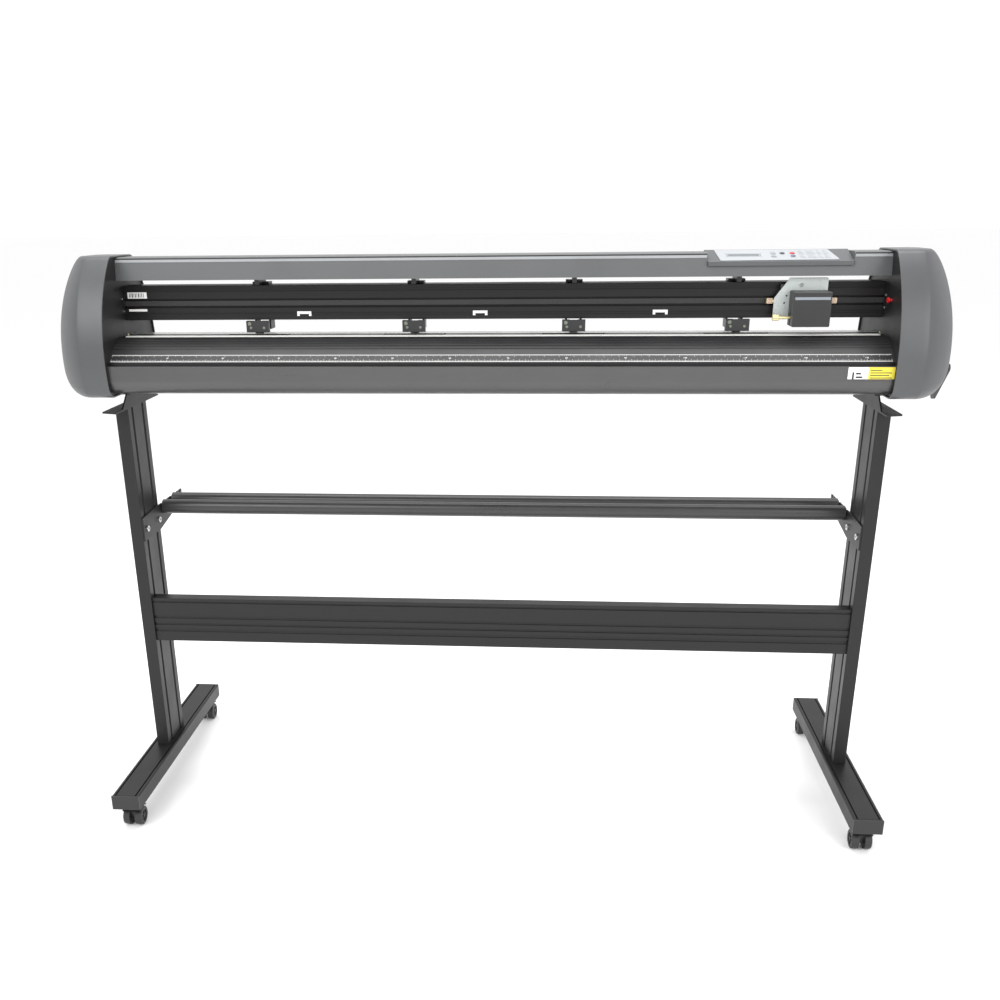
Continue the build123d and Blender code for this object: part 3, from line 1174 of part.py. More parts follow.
def media_rollers():
    """Two tubes that the roll of vinyl turns on, with a spigot at each end."""
    half = POST_X - SHEET - ROLL_PLAY
    end = POST_X + ROLL_SPIGOT_OUT
    for name, y in (("media_roller_front", ROLL_AXIS_Y[0]), ("media_roller_back", ROLL_AXIS_Y[1])):
        with BuildPart() as tube:
            rod_x((-half, half), y, ROLL_AXIS_Z, ROLL_R)
            rod_x((ROLL_PLUG - half, half - ROLL_PLUG), y, ROLL_AXIS_Z, ROLL_R - ROLL_WALL,
                  mode=Mode.SUBTRACT)
            rod_x((-end, OVER - half), y, ROLL_AXIS_Z, ROLL_SPIGOT_R)
            rod_x((half - OVER, end), y, ROLL_AXIS_Z, ROLL_SPIGOT_R)
        save(tube, name)


def fasteners():
    """Bolts of the roll brackets and the crossbeam, and the side plates' screws."""
    x0 = POST_X - SHEET
    outer = POST_X + POST_WIDTH
    with BuildPart() as bolts:
        for y in ROLL_BOLT_Y:
            rod_x((x0 - BOLT_HEAD_T, x0), y, ROLL_BOLT_Z, BOLT_HEAD_R)
            rod_x((x0, POST_X), y, ROLL_BOLT_Z, BOLT_R)
        middle = (BEAM_BAR_Y[0] + BEAM_BAR_Y[1]) / 2
        for z in (BEAM_BAR_Z[0] + BAR_BOLT_INSET, BEAM_BAR_Z[1] - BAR_BOLT_INSET):
            rod_x((outer, outer + BOLT_HEAD_T), middle, z, BOLT_HEAD_R)
        for y, z in WALL_SCREWS:
            rod_x((WALL_X - WALL_SCREW_T, WALL_X), y, z, WALL_SCREW_R)
        mirror(about=Plane.YZ)
    save(bolts, "fasteners")


# ---------------------------------------------------------------- casters
def caster(number, x, y):
    """A swivelling yoke and its pair of wheels on one axle, trailing backwards."""
    axle_y = y + CASTER_TRAIL
    top = FLOOR_TO_FOOT - GAP
    half = CASTER_YOKE / 2
    wheel = half + GAP + CASTER_WHEEL
    high = top - CASTER_DISC_T + OVER
    with BuildPart() as yoke:
        rod_z(x, y, (top - CASTER_DISC_T, top), CASTER_DISC_R)
        rod_z(x, y, (top - OVER, FLOOR_TO_FOOT + CASTER_STEM_UP), CASTER_STEM_R)
        with BuildSketch(Plane.YZ.offset(x - half)):
            Polygon((y + YOKE_TOP_Y[0], high), (axle_y + YOKE_LOW_Y[0], CASTER_R - YOKE_AXLE_Z),
                    (axle_y + YOKE_LOW_Y[1], CASTER_R - YOKE_AXLE_Z),
                    (axle_y + YOKE_BACK_Y, CASTER_R + YOKE_AXLE_Z), (y + YOKE_TOP_Y[1], high),
                    align=None)
        extrude(amount=CASTER_YOKE)
        with BuildSketch(Plane.YZ.offset(x - wheel)):
            with Locations((axle_y, CASTER_R)):
                Circle(CASTER_R + HOOD_OUTER)
                Circle(CASTER_R + HOOD_INNER, mode=Mode.SUBTRACT)
            with Locations((axle_y, CASTER_R + HOOD_LOW)):
                Rectangle(4 * CASTER_R, 4 * CASTER_R, align=(Align.CENTER, Align.MAX),
                          mode=Mode.SUBTRACT)
        extrude(amount=2 * wheel)
        rod_x((x - half, x + half), axle_y, CASTER_R, CASTER_AXLE_R + RUN, mode=Mode.SUBTRACT)
    save(yoke, f"caster_yoke_{number}")
    with BuildPart() as pair:
        rod_x((x - wheel, x + wheel), axle_y, CASTER_R, CASTER_R)
        fillet(pair.edges().filter_by(GeomType.CIRCLE), CASTER_TYRE_R)
        rod_x((x - half - GAP, x + half + GAP), axle_y, CASTER_R, CASTER_R, mode=Mode.SUBTRACT)
        rod_x((x - half - OVER, x + half + OVER), axle_y, CASTER_R, CASTER_AXLE_R)
        for side in (-1, 1):
            face = x + side * wheel
            inner = face - side * CASTER_DISH
            span = (min(face, inner), max(face, inner))
            rod_x(span, axle_y, CASTER_R, CASTER_R - CASTER_RIM, mode=Mode.SUBTRACT)
            rod_x(span, axle_y, CASTER_R, CASTER_HUB_R)
    save(pair, f"caster_wheels_{number}")


def casters():
    """One caster near each end of both feet."""
    end = FOOT_LENGTH / 2 - CASTER_FROM_END
    places = ((-FOOT_MID_X, -end), (FOOT_MID_X, -end), (-FOOT_MID_X, end), (FOOT_MID_X, end))
    for number, (x, y) in enumerate(places, start=1):
        caster(number, x, y)


end_caps()
side_plates()
top_cover()
panel_housing()
panel_overlay()
keypad()
guide_beam()
platen()
cutting_strip()
front_apron()
base_tray()
shaft_bushes()
grit_shaft()
pulleys()
drive_motors()
drive_belts()
electronics()
carriage()
carriage_cover()
tool_head()
for index, pinch_x in enumerate(PINCH_X, start=1):
    pinch_unit(index, pinch_x)
lift_gear()
stop_plunger()
foot_beams()
posts()
crossbeam()
head_brackets()
roll_brackets()
media_rollers()
fasteners()
casters()
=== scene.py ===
"""Looks for the vinyl cutter on a wheeled stand: materials, fine detail, light and camera."""
import bpy
import bmesh
import json
from math import atan2, cos, hypot, pi, radians, sin, sqrt
from mathutils import Matrix, Vector


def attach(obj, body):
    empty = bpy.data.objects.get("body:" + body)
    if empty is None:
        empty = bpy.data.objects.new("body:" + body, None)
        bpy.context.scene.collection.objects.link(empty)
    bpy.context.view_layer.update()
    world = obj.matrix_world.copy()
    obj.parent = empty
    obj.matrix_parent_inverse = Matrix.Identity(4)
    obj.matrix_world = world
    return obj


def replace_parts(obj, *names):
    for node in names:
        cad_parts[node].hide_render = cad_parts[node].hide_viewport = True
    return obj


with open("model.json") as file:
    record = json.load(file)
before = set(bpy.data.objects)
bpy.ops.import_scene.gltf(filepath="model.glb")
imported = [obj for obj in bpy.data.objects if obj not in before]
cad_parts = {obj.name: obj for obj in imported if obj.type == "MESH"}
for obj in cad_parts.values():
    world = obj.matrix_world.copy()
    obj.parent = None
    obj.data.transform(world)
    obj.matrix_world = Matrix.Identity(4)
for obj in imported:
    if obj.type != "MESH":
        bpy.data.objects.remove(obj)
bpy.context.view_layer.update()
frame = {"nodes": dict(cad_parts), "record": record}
MM = 0.001                    # metres in a millimetre; every length below is in millimetres
WALL = 675.0                  # inner face of a side plate
PATCH_SCALE = 9.0             # slow patches of wear, per metre
GRAIN_DEPTH = 0.00006         # metres
GLOSS_SPREAD = 0.09           # roughness either side of a finish's own
WELD_DISTANCE = 0.000005      # metres
SHARP = radians(40)           # edges sharper than this are bevelled


# ------------------------------------------------------------------ materials
def socket(node, name, value):
    """Sets an input by name."""
    node.inputs[name].default_value = value


def surface(name, colour, rough, metal=0.0, grain=900.0, bump=0.12, vary=0.12, stretch=(1, 1, 1),
            coat=0.0, specular=0.5):
    """Principled material with fine grain, slow patches of wear and a matching bump."""
    mat = bpy.data.materials.new(name)
    mat.use_nodes = True
    nt = mat.node_tree
    link = nt.links.new
    bsdf = nt.nodes["Principled BSDF"]
    socket(bsdf, "Metallic", metal)
    socket(bsdf, "Coat Weight", coat)
    socket(bsdf, "Coat Roughness", 0.18)
    socket(bsdf, "Specular IOR Level", specular)
    place = nt.nodes.new("ShaderNodeTexCoord")
    mapping = nt.nodes.new("ShaderNodeMapping")
    socket(mapping, "Scale", stretch)
    link(place.outputs["Object"], mapping.inputs["Vector"])
    fine = nt.nodes.new("ShaderNodeTexNoise")
    socket(fine, "Scale", grain)
    socket(fine, "Detail", 3.0)
    link(mapping.outputs["Vector"], fine.inputs["Vector"])
    slow = nt.nodes.new("ShaderNodeTexNoise")
    socket(slow, "Scale", PATCH_SCALE)
    socket(slow, "Detail", 5.0)
    socket(slow, "Roughness", 0.6)
    link(place.outputs["Object"], slow.inputs["Vector"])
    blend = nt.nodes.new("ShaderNodeMath")
    blend.operation = "MULTIPLY_ADD"
    link(slow.outputs["Fac"], blend.inputs[0])
    blend.inputs[1].default_value = 0.65
    scaled = nt.nodes.new("ShaderNodeMath")
    scaled.operation = "MULTIPLY"
    link(fine.outputs["Fac"], scaled.inputs[0])
    scaled.inputs[1].default_value = 0.35
    link(scaled.outputs[0], blend.inputs[2])
    ramp = nt.nodes.new("ShaderNodeValToRGB")
    low = [c * (1 - vary) for c in colour]
    high = [min(c * (1 + vary), 1.0) for c in colour]
    ramp.color_ramp.elements[0].position = 0.3
    ramp.color_ramp.elements[0].color = (*low, 1)
    ramp.color_ramp.elements[1].position = 0.7
    ramp.color_ramp.elements[1].color = (*high, 1)
    link(blend.outputs[0], ramp.inputs["Fac"])
    link(ramp.outputs["Color"], bsdf.inputs["Base Color"])
    gloss = nt.nodes.new("ShaderNodeMapRange")
    socket(gloss, "To Min", max(rough - GLOSS_SPREAD, 0.03))
    socket(gloss, "To Max", min(rough + GLOSS_SPREAD, 1.0))
    socket(gloss, "From Min", 0.3)
    socket(gloss, "From Max", 0.7)
    link(blend.outputs[0], gloss.inputs["Value"])
    link(gloss.outputs["Result"], bsdf.inputs["Roughness"])
    relief = nt.nodes.new("ShaderNodeBump")
    socket(relief, "Strength", bump)
    socket(relief, "Distance", GRAIN_DEPTH)
    link(fine.outputs["Fac"], relief.inputs["Height"])
    link(relief.outputs["Normal"], bsdf.inputs["Normal"])
    return mat


def ribs(mat, axis, pitch):
    """Adds even ribs along an axis to a material's bump, as belt teeth or knurling have."""
    nt = mat.node_tree
    link = nt.links.new
    relief = next(n for n in nt.nodes if n.type == "BUMP")
    place = next(n for n in nt.nodes if n.type == "TEX_COORD")
    lines = nt.nodes.new("ShaderNodeTexWave")
    lines.wave_type = "BANDS"
    lines.bands_direction = axis
    socket(lines, "Scale", 2 * pi / pitch / 20)
    link(place.outputs["Object"], lines.inputs["Vector"])
    second = nt.nodes.new("ShaderNodeBump")
    socket(second, "Strength", 0.6)
    socket(second, "Distance", 0.0004)
    link(lines.outputs["Fac"], second.inputs["Height"])
    link(relief.outputs["Normal"], second.inputs["Normal"])
    link(second.outputs["Normal"], nt.nodes["Principled BSDF"].inputs["Normal"])
    return mat


MATS = {
    "stand_black": surface("stand_black", (0.012, 0.0118, 0.012), 0.42, grain=1400, bump=0.25, vary=0.18,
                           specular=0.30),
    "plate_black": surface("plate_black", (0.012, 0.0118, 0.012), 0.45, grain=1400, bump=0.25, vary=0.18,
                           specular=0.30),
    "beam_black": surface("beam_black", (0.011, 0.010, 0.010), 0.42, 0.0, grain=700, stretch=(0.02, 1, 1),
                          bump=0.2, vary=0.15, specular=0.25),
    "platen_grey": surface("platen_grey", (0.014, 0.014, 0.015), 0.38, 0.1, grain=700,
                           stretch=(0.02, 1, 1), bump=0.2, specular=0.35),
    "apron_grey": surface("apron_grey", (0.088, 0.086, 0.086), 0.33, 0.7, grain=800,
                          stretch=(0.02, 1, 1), bump=0.2, vary=0.08),
    "cover_grey": surface("cover_grey", (0.090, 0.093, 0.095), 0.42, grain=1200, bump=0.2, vary=0.07),
    "cap_grey": surface("cap_grey", (0.062, 0.064, 0.067), 0.42, grain=1600, bump=0.4, vary=0.08),
    "panel_dark": surface("panel_dark", (0.072, 0.075, 0.078), 0.40, grain=1300, bump=0.3),
    "overlay_silver": surface("overlay_silver", (0.36, 0.375, 0.39), 0.30, 0.1, grain=1500, bump=0.08,
                              vary=0.04),
    "key_grey": surface("key_grey", (0.3, 0.32, 0.36), 0.25, grain=900, bump=0.05),
    "strip_white": surface("strip_white", (0.75, 0.75, 0.72), 0.35, grain=600, bump=0.15, vary=0.05,
                           stretch=(0.1, 1, 1)),
    "steel": surface("steel", (0.5, 0.5, 0.5), 0.28, 1.0, grain=900, stretch=(0.05, 1, 1), bump=0.15),
    "plate_silver": surface("plate_silver", (0.44, 0.475, 0.465), 0.30, 0.35, grain=900, bump=0.12,
                            vary=0.06),
    "brass": surface("brass", (0.85, 0.75, 0.42), 0.28, 0.85, grain=800, bump=0.15, vary=0.12),
    "tool_black": surface("tool_black", (0.014, 0.014, 0.015), 0.42, grain=1500, bump=0.35),
    "pinch_black": surface("pinch_black", (0.014, 0.014, 0.016), 0.38, grain=1300, bump=0.3),
    "wheel_rubber": surface("wheel_rubber", (0.03, 0.03, 0.03), 0.7, grain=900, bump=0.3),
    "grit_steel": ribs(surface("grit_steel", (0.42, 0.42, 0.42), 0.35, 1.0, grain=1800, bump=0.8), "X",
                       0.0012),
    "pulley_alloy": surface("pulley_alloy", (0.5, 0.5, 0.52), 0.3, 1.0, grain=900, bump=0.15),
    "belt_black": ribs(surface("belt_black", (0.016, 0.016, 0.016), 0.6, grain=1200, bump=0.3), "X",
                       0.003),
    "motor_black": surface("motor_black", (0.02, 0.02, 0.022), 0.35, grain=900, bump=0.2),
    "board_green": surface("board_green", (0.03, 0.12, 0.05), 0.35, grain=500, bump=0.2, vary=0.25),
    "stop_red": surface("stop_red", (0.62, 0.012, 0.016), 0.25, grain=900, bump=0.05, coat=0.5),
    "caster_black": surface("caster_black", (0.012, 0.012, 0.013), 0.40, grain=1300, bump=0.3),
    "caster_tread": surface("caster_tread", (0.018, 0.018, 0.019), 0.5, grain=1100, bump=0.3),
    "roller_black": surface("roller_black", (0.030, 0.030, 0.030), 0.33, grain=1200, bump=0.2,
                            stretch=(0.1, 1, 1)),
    "bolt_steel": surface("bolt_steel", (0.55, 0.55, 0.56), 0.25, 1.0, grain=900, bump=0.15),
}
EXTRA = {
    "print_white": surface("print_white", (0.72, 0.72, 0.70), 0.5, grain=1500, bump=0.05, vary=0.05),
    "print_grey": surface("print_grey", (0.22, 0.24, 0.27), 0.5, grain=1500, bump=0.05, vary=0.08),
    "print_black": surface("print_black", (0.02, 0.02, 0.02), 0.5, grain=1500, bump=0.05, vary=0.1),
    "label_white": surface("label_white", (0.78, 0.78, 0.76), 0.4, grain=900, bump=0.06, vary=0.04),
    "label_yellow": surface("label_yellow", (0.72, 0.60, 0.05), 0.4, grain=900, bump=0.06, vary=0.05),
    "glass_grey": surface("glass_grey", (0.20, 0.23, 0.24), 0.12, grain=900, bump=0.02, vary=0.05,
                          coat=1.0),
    "key_pale": surface("key_pale", (0.24, 0.26, 0.28), 0.3, grain=900, bump=0.05),
    "key_dark": surface("key_dark", (0.045, 0.045, 0.055), 0.3, grain=900, bump=0.05),
    "key_red": surface("key_red", (0.42, 0.03, 0.03), 0.3, grain=900, bump=0.05),
    "key_blue": surface("key_blue", (0.09, 0.12, 0.20), 0.3, grain=900, bump=0.05),
    # pale grey for a strip on the cover's front top edge: a painted highlight
    "edge_highlight_pale": surface("edge_highlight_pale", (0.30, 0.31, 0.32), 0.4, grain=900, bump=0.08),
    "clamp_copper": surface("clamp_copper", (0.55, 0.42, 0.33), 0.35, 0.6, grain=900, bump=0.15),
    "pinch_olive": surface("pinch_olive", (0.16, 0.18, 0.14), 0.4, 0.4, grain=900, bump=0.1),
    "platen_bright": surface("platen_bright", (0.62, 0.62, 0.61), 0.25, 0.5, grain=700,
                             stretch=(0.02, 1, 1), bump=0.1, vary=0.05),
    "cell_dark": surface("cell_dark", (0.06, 0.07, 0.08), 0.3, grain=900, bump=0.02),
}

# ------------------------------------------------------------------ CAD nodes
BEVEL = {"posts": 0.8, "foot_beams": 0.8, "crossbeam": 0.6, "head_brackets": 0.4, "end_caps": 0.6,
         "carriage_cover": 0.5, "top_cover": 0.5, "front_apron": 0.5, "platen": 0.35}
slots = {part["node"]: part["material_slot"] for part in frame["record"]["subparts"]}
for node_name, node in frame["nodes"].items():
    node.data.materials.clear()
    node.data.materials.append(MATS[slots[node_name]])
    for face in node.data.polygons:
        face.use_smooth = True
    weld = node.modifiers.new("weld", "WELD")
    weld.merge_threshold = WELD_DISTANCE
    bevel = node.modifiers.new("edge", "BEVEL")
    bevel.width = BEVEL.get(node_name, 0.3) * MM
    bevel.segments = 2
    bevel.limit_method = "ANGLE"
    bevel.angle_limit = SHARP
    bevel.use_clamp_overlap = True
    bevel.harden_normals = False
    even = node.modifiers.new("even", "WEIGHTED_NORMAL")
    even.keep_sharp = False
    even.weight = 80


# ------------------------------------------------------------------ mesh helpers
def piece(name, verts, faces, slot, body, look=None, smooth=False, bevel=0.0):
    """A mesh piece in millimetres that rides on a body and takes a slot's finish."""
    mesh = bpy.data.meshes.new(name)
    mesh.from_pydata([[c * MM for c in v] for v in verts], [], faces)
    mesh.validate()
    bm = bmesh.new()
    bm.from_mesh(mesh)
    bmesh.ops.recalc_face_normals(bm, faces=bm.faces)
    bm.to_mesh(mesh)
    bm.free()
    obj = bpy.data.objects.new(name, mesh)
    bpy.context.scene.collection.objects.link(obj)
    mesh.materials.append(EXTRA[look] if look else MATS[slot])
    for face in mesh.polygons:
        face.use_smooth = smooth
    if bevel:
        edge = obj.modifiers.new("edge", "BEVEL")
        edge.width = bevel * MM
        edge.segments = 2
        edge.limit_method = "ANGLE"
        edge.angle_limit = SHARP
    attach(obj, body)
    return obj


class Shape:
    """Collects the vertices and faces of a piece."""

    def __init__(self):
        self.verts = []
        self.faces = []

    def add(self, verts, faces):
        start = len(self.verts)
        self.verts += [tuple(v) for v in verts]
        self.faces += [[start + i for i in face] for face in faces]

    def box(self, x, y, z):
        corners = [(a, b, c) for a in x for b in y for c in z]
        self.add(corners, [(0, 1, 3, 2), (4, 6, 7, 5), (0, 4, 5, 1), (2, 3, 7, 6), (0, 2, 6, 4),
                           (1, 5, 7, 3)])

    def prism(self, loop, offset):
        """A closed loop of points pushed along an offset."""
        n = len(loop)
        far = [tuple(Vector(p) + Vector(offset)) for p in loop]
        sides = [(i, (i + 1) % n, n + (i + 1) % n, n + i) for i in range(n)]
        self.add(list(loop) + far, [list(range(n))[::-1], list(range(n, 2 * n))] + sides)

    def turned(self, profile, origin, axis, count=32, teeth=0, tooth=0.0):
        """Rings of (radius, along) about an axis, with optional even teeth on its rim."""
        axis = Vector(axis).normalized()
        side = axis.orthogonal().normalized()
        other = axis.cross(side)
        verts = []
        for radius, along in profile:
            for k in range(count):
                turn = 2 * pi * k / count
                r = radius - (tooth if teeth and k % 2 and radius > 0.6 * profile[0][0] else 0)
                verts.append(Vector(origin) + axis * along + side * (r * cos(turn))
                             + other * (r * sin(turn)))
        faces = []
        for ring in range(len(profile) - 1):
            a, b = ring * count, (ring + 1) * count
            faces += [(a + k, a + (k + 1) % count, b + (k + 1) % count, b + k) for k in range(count)]
        faces.append(list(range(count))[::-1])
        last = (len(profile) - 1) * count
        faces.append(list(range(last, last + count)))
        self.add(verts, faces)

    def done(self, name, slot, body, look=None, smooth=False, bevel=0.0):
        return piece(name, self.verts, self.faces, slot, body, look, smooth, bevel)


# ------------------------------------------------------------------ end caps
CAP_IN, CAP_OUT, CAP_REACH = 672.0, 783.0, 784.5
CAP_WALL, CAP_CORNER_R, CAP_HIGH, CAP_LOW = 3.0, 24.0, 1043.6, 806.0
FLANK_R, FLANK_Z, FLANK_Y = 238.0, 868.0, 107.0
# each shoulder: where it starts in x, how far it draws in, the power of its curve
SHOULDER_TOP, SHOULDER_LOW, SHOULDER_SIDE = (731.0, 187.0, 1.9), (721.5, 38.0, 2.0), (715.0, 87.0, 1.32)


def drawn_in(x, start, size, power):
    """How far a cap's rounded shoulder has drawn in at x."""
    share = min(max((x - start) / (CAP_REACH - start), 0.0), 1.0)
    return size * (1 - (1 - share ** power) ** (1 / power))


def cap_ring(x, inset):
    """Points of a cap's cross-section at x: rounded front and back, flat top and bottom."""
    high = CAP_HIGH - inset - drawn_in(x, *SHOULDER_TOP)
    low = CAP_LOW + inset + drawn_in(x, *SHOULDER_LOW)
    big = FLANK_R - inset - drawn_in(x, *SHOULDER_SIDE)
    r = CAP_CORNER_R - inset
    top_y = FLANK_Y - sqrt((big - r) ** 2 - (high - r - FLANK_Z) ** 2)
    low_y = FLANK_Y - sqrt((big - r) ** 2 - (low + r - FLANK_Z) ** 2)
    top_turn = atan2(high - r - FLANK_Z, FLANK_Y - top_y)
    low_turn = atan2(low + r - FLANK_Z, FLANK_Y - low_y)
    half = []
    for k in range(9):
        turn = pi / 2 - (pi / 2 - top_turn) * k / 8
        half.append((top_y - r * cos(turn), high - r + r * sin(turn)))
    for k in range(1, 24):
        turn = top_turn + (low_turn - top_turn) * k / 24
        half.append((FLANK_Y - big * cos(turn), FLANK_Z + big * sin(turn)))
    for k in range(9):
        turn = low_turn + (-pi / 2 - low_turn) * k / 8
        half.append((low_y - r * cos(turn), low + r + r * sin(turn)))
    return half + [(-y, z) for y, z in reversed(half)]


def end_cap(name, side):
    """One smooth moulded end cap with a wall."""
    places = [CAP_IN + s * 8.6 for s in range(6)]
    curved = SHOULDER_SIDE[0]
    places += [curved + (CAP_OUT - curved) * sin(pi / 2 * k / 36) for k in range(1, 37)]
    verts = []
    for x in places:
        verts += [(side * x, y, z) for y, z in cap_ring(x, 0.0)]
    count = len(cap_ring(CAP_IN, 0.0))
    for x in reversed(places):
        inner = x - CAP_WALL * (x - CAP_IN) / (CAP_OUT - CAP_IN)
        verts += [(side * inner, y, z) for y, z in cap_ring(x, CAP_WALL)]
    rings = 2 * len(places)
    faces = []
    for ring in range(rings):
        if ring == len(places) - 1:
            continue
        a, b = ring * count, ((ring + 1) % rings) * count
        faces += [(a + k, a + (k + 1) % count, b + (k + 1) % count, b + k) for k in range(count)]
    for ring in (len(places) - 1, len(places)):
        start = ring * count
        faces.append(list(range(start, start + count)))
    cap = piece(name, verts, faces, "cap_grey", "frame", smooth=True, bevel=0.8)
    even = cap.modifiers.new("even", "WEIGHTED_NORMAL")
    even.weight = 60
    return cap


caps = [end_cap("cap_shell_left", -1), end_cap("cap_shell_right", 1)]
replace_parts(caps[0], "end_caps")

# ------------------------------------------------------------------ platen rule
LIP, MID, FLAT = (-109.0, 868.0), (-79.0, 889.0), (-46.0, 904.0)


def circle_through(a, b, c):
    """Centre and radius of the circle through three points."""
    d = 2 * (a[0] * (b[1] - c[1]) + b[0] * (c[1] - a[1]) + c[0] * (a[1] - b[1]))
    sa, sb, sc = (p[0] ** 2 + p[1] ** 2 for p in (a, b, c))
    cy = (sa * (b[1] - c[1]) + sb * (c[1] - a[1]) + sc * (a[1] - b[1])) / d
    cz = (sa * (c[0] - b[0]) + sb * (a[0] - c[0]) + sc * (b[0] - a[0])) / d
    return cy, cz, hypot(a[0] - cy, a[1] - cz)


RISE = circle_through(LIP, MID, FLAT)
START = atan2(LIP[1] - RISE[1], LIP[0] - RISE[0])


def on_rise(along, lift):
    """(y, z) a given way up the platen's rise from its lip, lifted off the surface."""
    turn = START - along / RISE[2]
    r = RISE[2] + lift
    return RISE[0] + r * cos(turn), RISE[1] + r * sin(turn)


def rise_mark(shape, x, width, start, end, steps=2):
    """A printed bar that follows the platen's rise."""
    cuts = [start + (end - start) * k / steps for k in range(steps + 1)]
    verts = []
    for cut in cuts:
        for lift in (0.02, 0.16):
            y, z = on_rise(cut, lift)
            verts += [(x - width / 2, y, z), (x + width / 2, y, z)]
    faces = []
    for k in range(steps):
        a = 4 * k
        faces += [(a, a + 1, a + 5, a + 4), (a + 2, a + 6, a + 7, a + 3), (a, a + 4, a + 6, a + 2),
                  (a + 1, a + 3, a + 7, a + 5)]
    e = 4 * steps
    faces += [(0, 2, 3, 1), (e, e + 1, e + 3, e + 2)]
    shape.add(verts, faces)


rule = Shape()
for k in range(1341):
    tick = 5.2 if k % 10 == 0 else 3.6 if k % 5 == 0 else 2.2
    rise_mark(rule, -670.0 + k, 0.22 if k % 5 else 0.35, 1.6, 1.6 + tick)
for k in range(422):
    tick = 4.6 if k % 8 == 0 else 3.0 if k % 4 == 0 else 1.8
    rise_mark(rule, -670.0 + k * 3.175, 0.35, 17.0 - tick, 17.0)
for low, high in ((1.0, 1.7), (17.0, 17.8)):
    rise_mark(rule, 0.0, 2 * WALL - 8, low, high)
rule.done("rule_ticks", "platen_grey", "frame", "print_white")


def digits(name, text, size, place, turn):
    """Plain raised figures as a mesh; their middle stands at a place."""
    curve = bpy.data.curves.new(name, "FONT")
    curve.body = text
    curve.size = size * MM
    curve.extrude = 0.00005
    curve.align_x = "CENTER"
    curve.align_y = "CENTER"
    maker = bpy.data.objects.new(name + "_maker", curve)
    bpy.context.scene.collection.objects.link(maker)
    bpy.context.view_layer.update()
    mesh = bpy.data.meshes.new_from_object(maker.evaluated_get(bpy.context.evaluated_depsgraph_get()))
    bpy.data.objects.remove(maker)
    mesh.transform(Matrix.Translation(Vector(place) * MM) @ turn.to_4x4())
    return mesh


def figures(name, entries, look, body):
    """Several sets of figures joined into one piece."""
    joined = bmesh.new()
    for text, size, place, turn in entries:
        part = digits(name, text, size, place, turn)
        joined.from_mesh(part)
    mesh = bpy.data.meshes.new(name)
    joined.to_mesh(mesh)
    joined.free()
    obj = bpy.data.objects.new(name, mesh)
    bpy.context.scene.collection.objects.link(obj)
    mesh.materials.clear()
    mesh.materials.append(EXTRA[look])
    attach(obj, body)
    return obj


slope_y, slope_z = on_rise(9.6, 0.12)
slope_turn = START - 9.6 / RISE[2]
normal = Vector((0, cos(slope_turn), sin(slope_turn)))
up_slope = Vector((0, sin(slope_turn), -cos(slope_turn)))
face_turn = Matrix((Vector((1, 0, 0)), up_slope, normal)).transposed()
figures("rule_figures", [(str(10 * k), 4.2, (-670.0 + 100.0 * k, slope_y, slope_z), face_turn)
                         for k in range(1, 14)], "print_white", "frame")

# ------------------------------------------------------------------ beam marks
marks = Shape()
for x in (-343.0, -24.0, 294.0):
    for a, b in ((-13.0, -8.5), (8.5, 13.0)):
        marks.box((x + a, x + b), (-0.25, 0.0), (936.5, 944.5))
    marks.box((x - 8.5, x + 8.5), (-0.25, 0.0), (940.0, 944.5))
marks.done("media_marks", "beam_black", "frame", "print_white")
tag = Shape()
tag.box((-668.0, -632.0), (-0.2, 0.0), (968.2, 979.0))
tag.box((-668.0, -634.0), (-0.2, 0.0), (945.5, 949.5))
tag.done("beam_tag", "beam_black", "frame", "label_white")
bars = Shape()
for k, (x, width) in enumerate(((-665, 1.2), (-662.5, 0.7), (-660, 1.8), (-656.6, 0.8), (-654, 1.4),
                                (-651, 0.7), (-648.2, 1.8), (-644.8, 0.9), (-642, 1.3), (-638.5, 0.8))):
    bars.box((x, x + width), (-0.3, -0.2), (970.0, 977.4))
bars.done("beam_tag_bars", "beam_black", "frame", "print_black")

# ------------------------------------------------------------------ apron label
def apron_face(z, lift):
    """y of the apron's front at height z."""
    lean_at = -121.0 + 2.5 * (862.0 - z) / 50.0
    centre_z, centre_y = 812.0 + 27.0, -118.5 + 27.0
    if z < centre_z:
        lean_at = max(lean_at, centre_y - sqrt(27.0 ** 2 - (centre_z - z) ** 2) + 0.35)
    return lean_at - lift


def apron_patch(name, x, z, look, lift=0.25, rows=10):
    """A label that follows the apron's front."""
    verts = []
    for k in range(rows + 1):
        height = z[0] + (z[1] - z[0]) * k / rows
        y = apron_face(height, lift)
        verts += [(x[0], y, height), (x[1], y, height)]
    for k in range(rows + 1):
        height = z[0] + (z[1] - z[0]) * k / rows
        y = apron_face(height, lift - 0.15)
        verts += [(x[0], y, height), (x[1], y, height)]
    back = 2 * (rows + 1)
    faces = []
    for k in range(rows):
        a = 2 * k
        faces += [(a, a + 1, a + 3, a + 2), (back + a, back + a + 2, back + a + 3, back + a + 1),
                  (a, a + 2, back + a + 2, back + a), (a + 1, back + a + 1, back + a + 3, a + 3)]
    e = 2 * rows
    faces += [(0, back, back + 1, 1), (e, e + 1, back + e + 1, back + e)]
    return piece(name, verts, faces, "apron_grey", "frame", look)


apron_patch("label_white_half", (597.0, 630.0), (829.0, 861.0), "label_white")
apron_patch("label_yellow_half", (630.0, 673.0), (829.0, 861.0), "label_yellow")
for k, (start, end) in enumerate(((633, 652), (633, 668), (633, 664), (633, 669), (633, 660), (633, 667))):
    apron_patch(f"label_line_{k}", (start, end), (855.2 - 4.2 * k, 856.6 - 4.2 * k), "print_black", 0.32,
                rows=1)
for k, (x, z) in enumerate((((604, 607), (836, 853)), ((607, 624), (836, 839)), ((610, 621), (843, 846)),
                            ((610, 618), (849, 852)))):
    apron_patch(f"label_sign_{k}", x, z, "print_black", 0.32, rows=3)

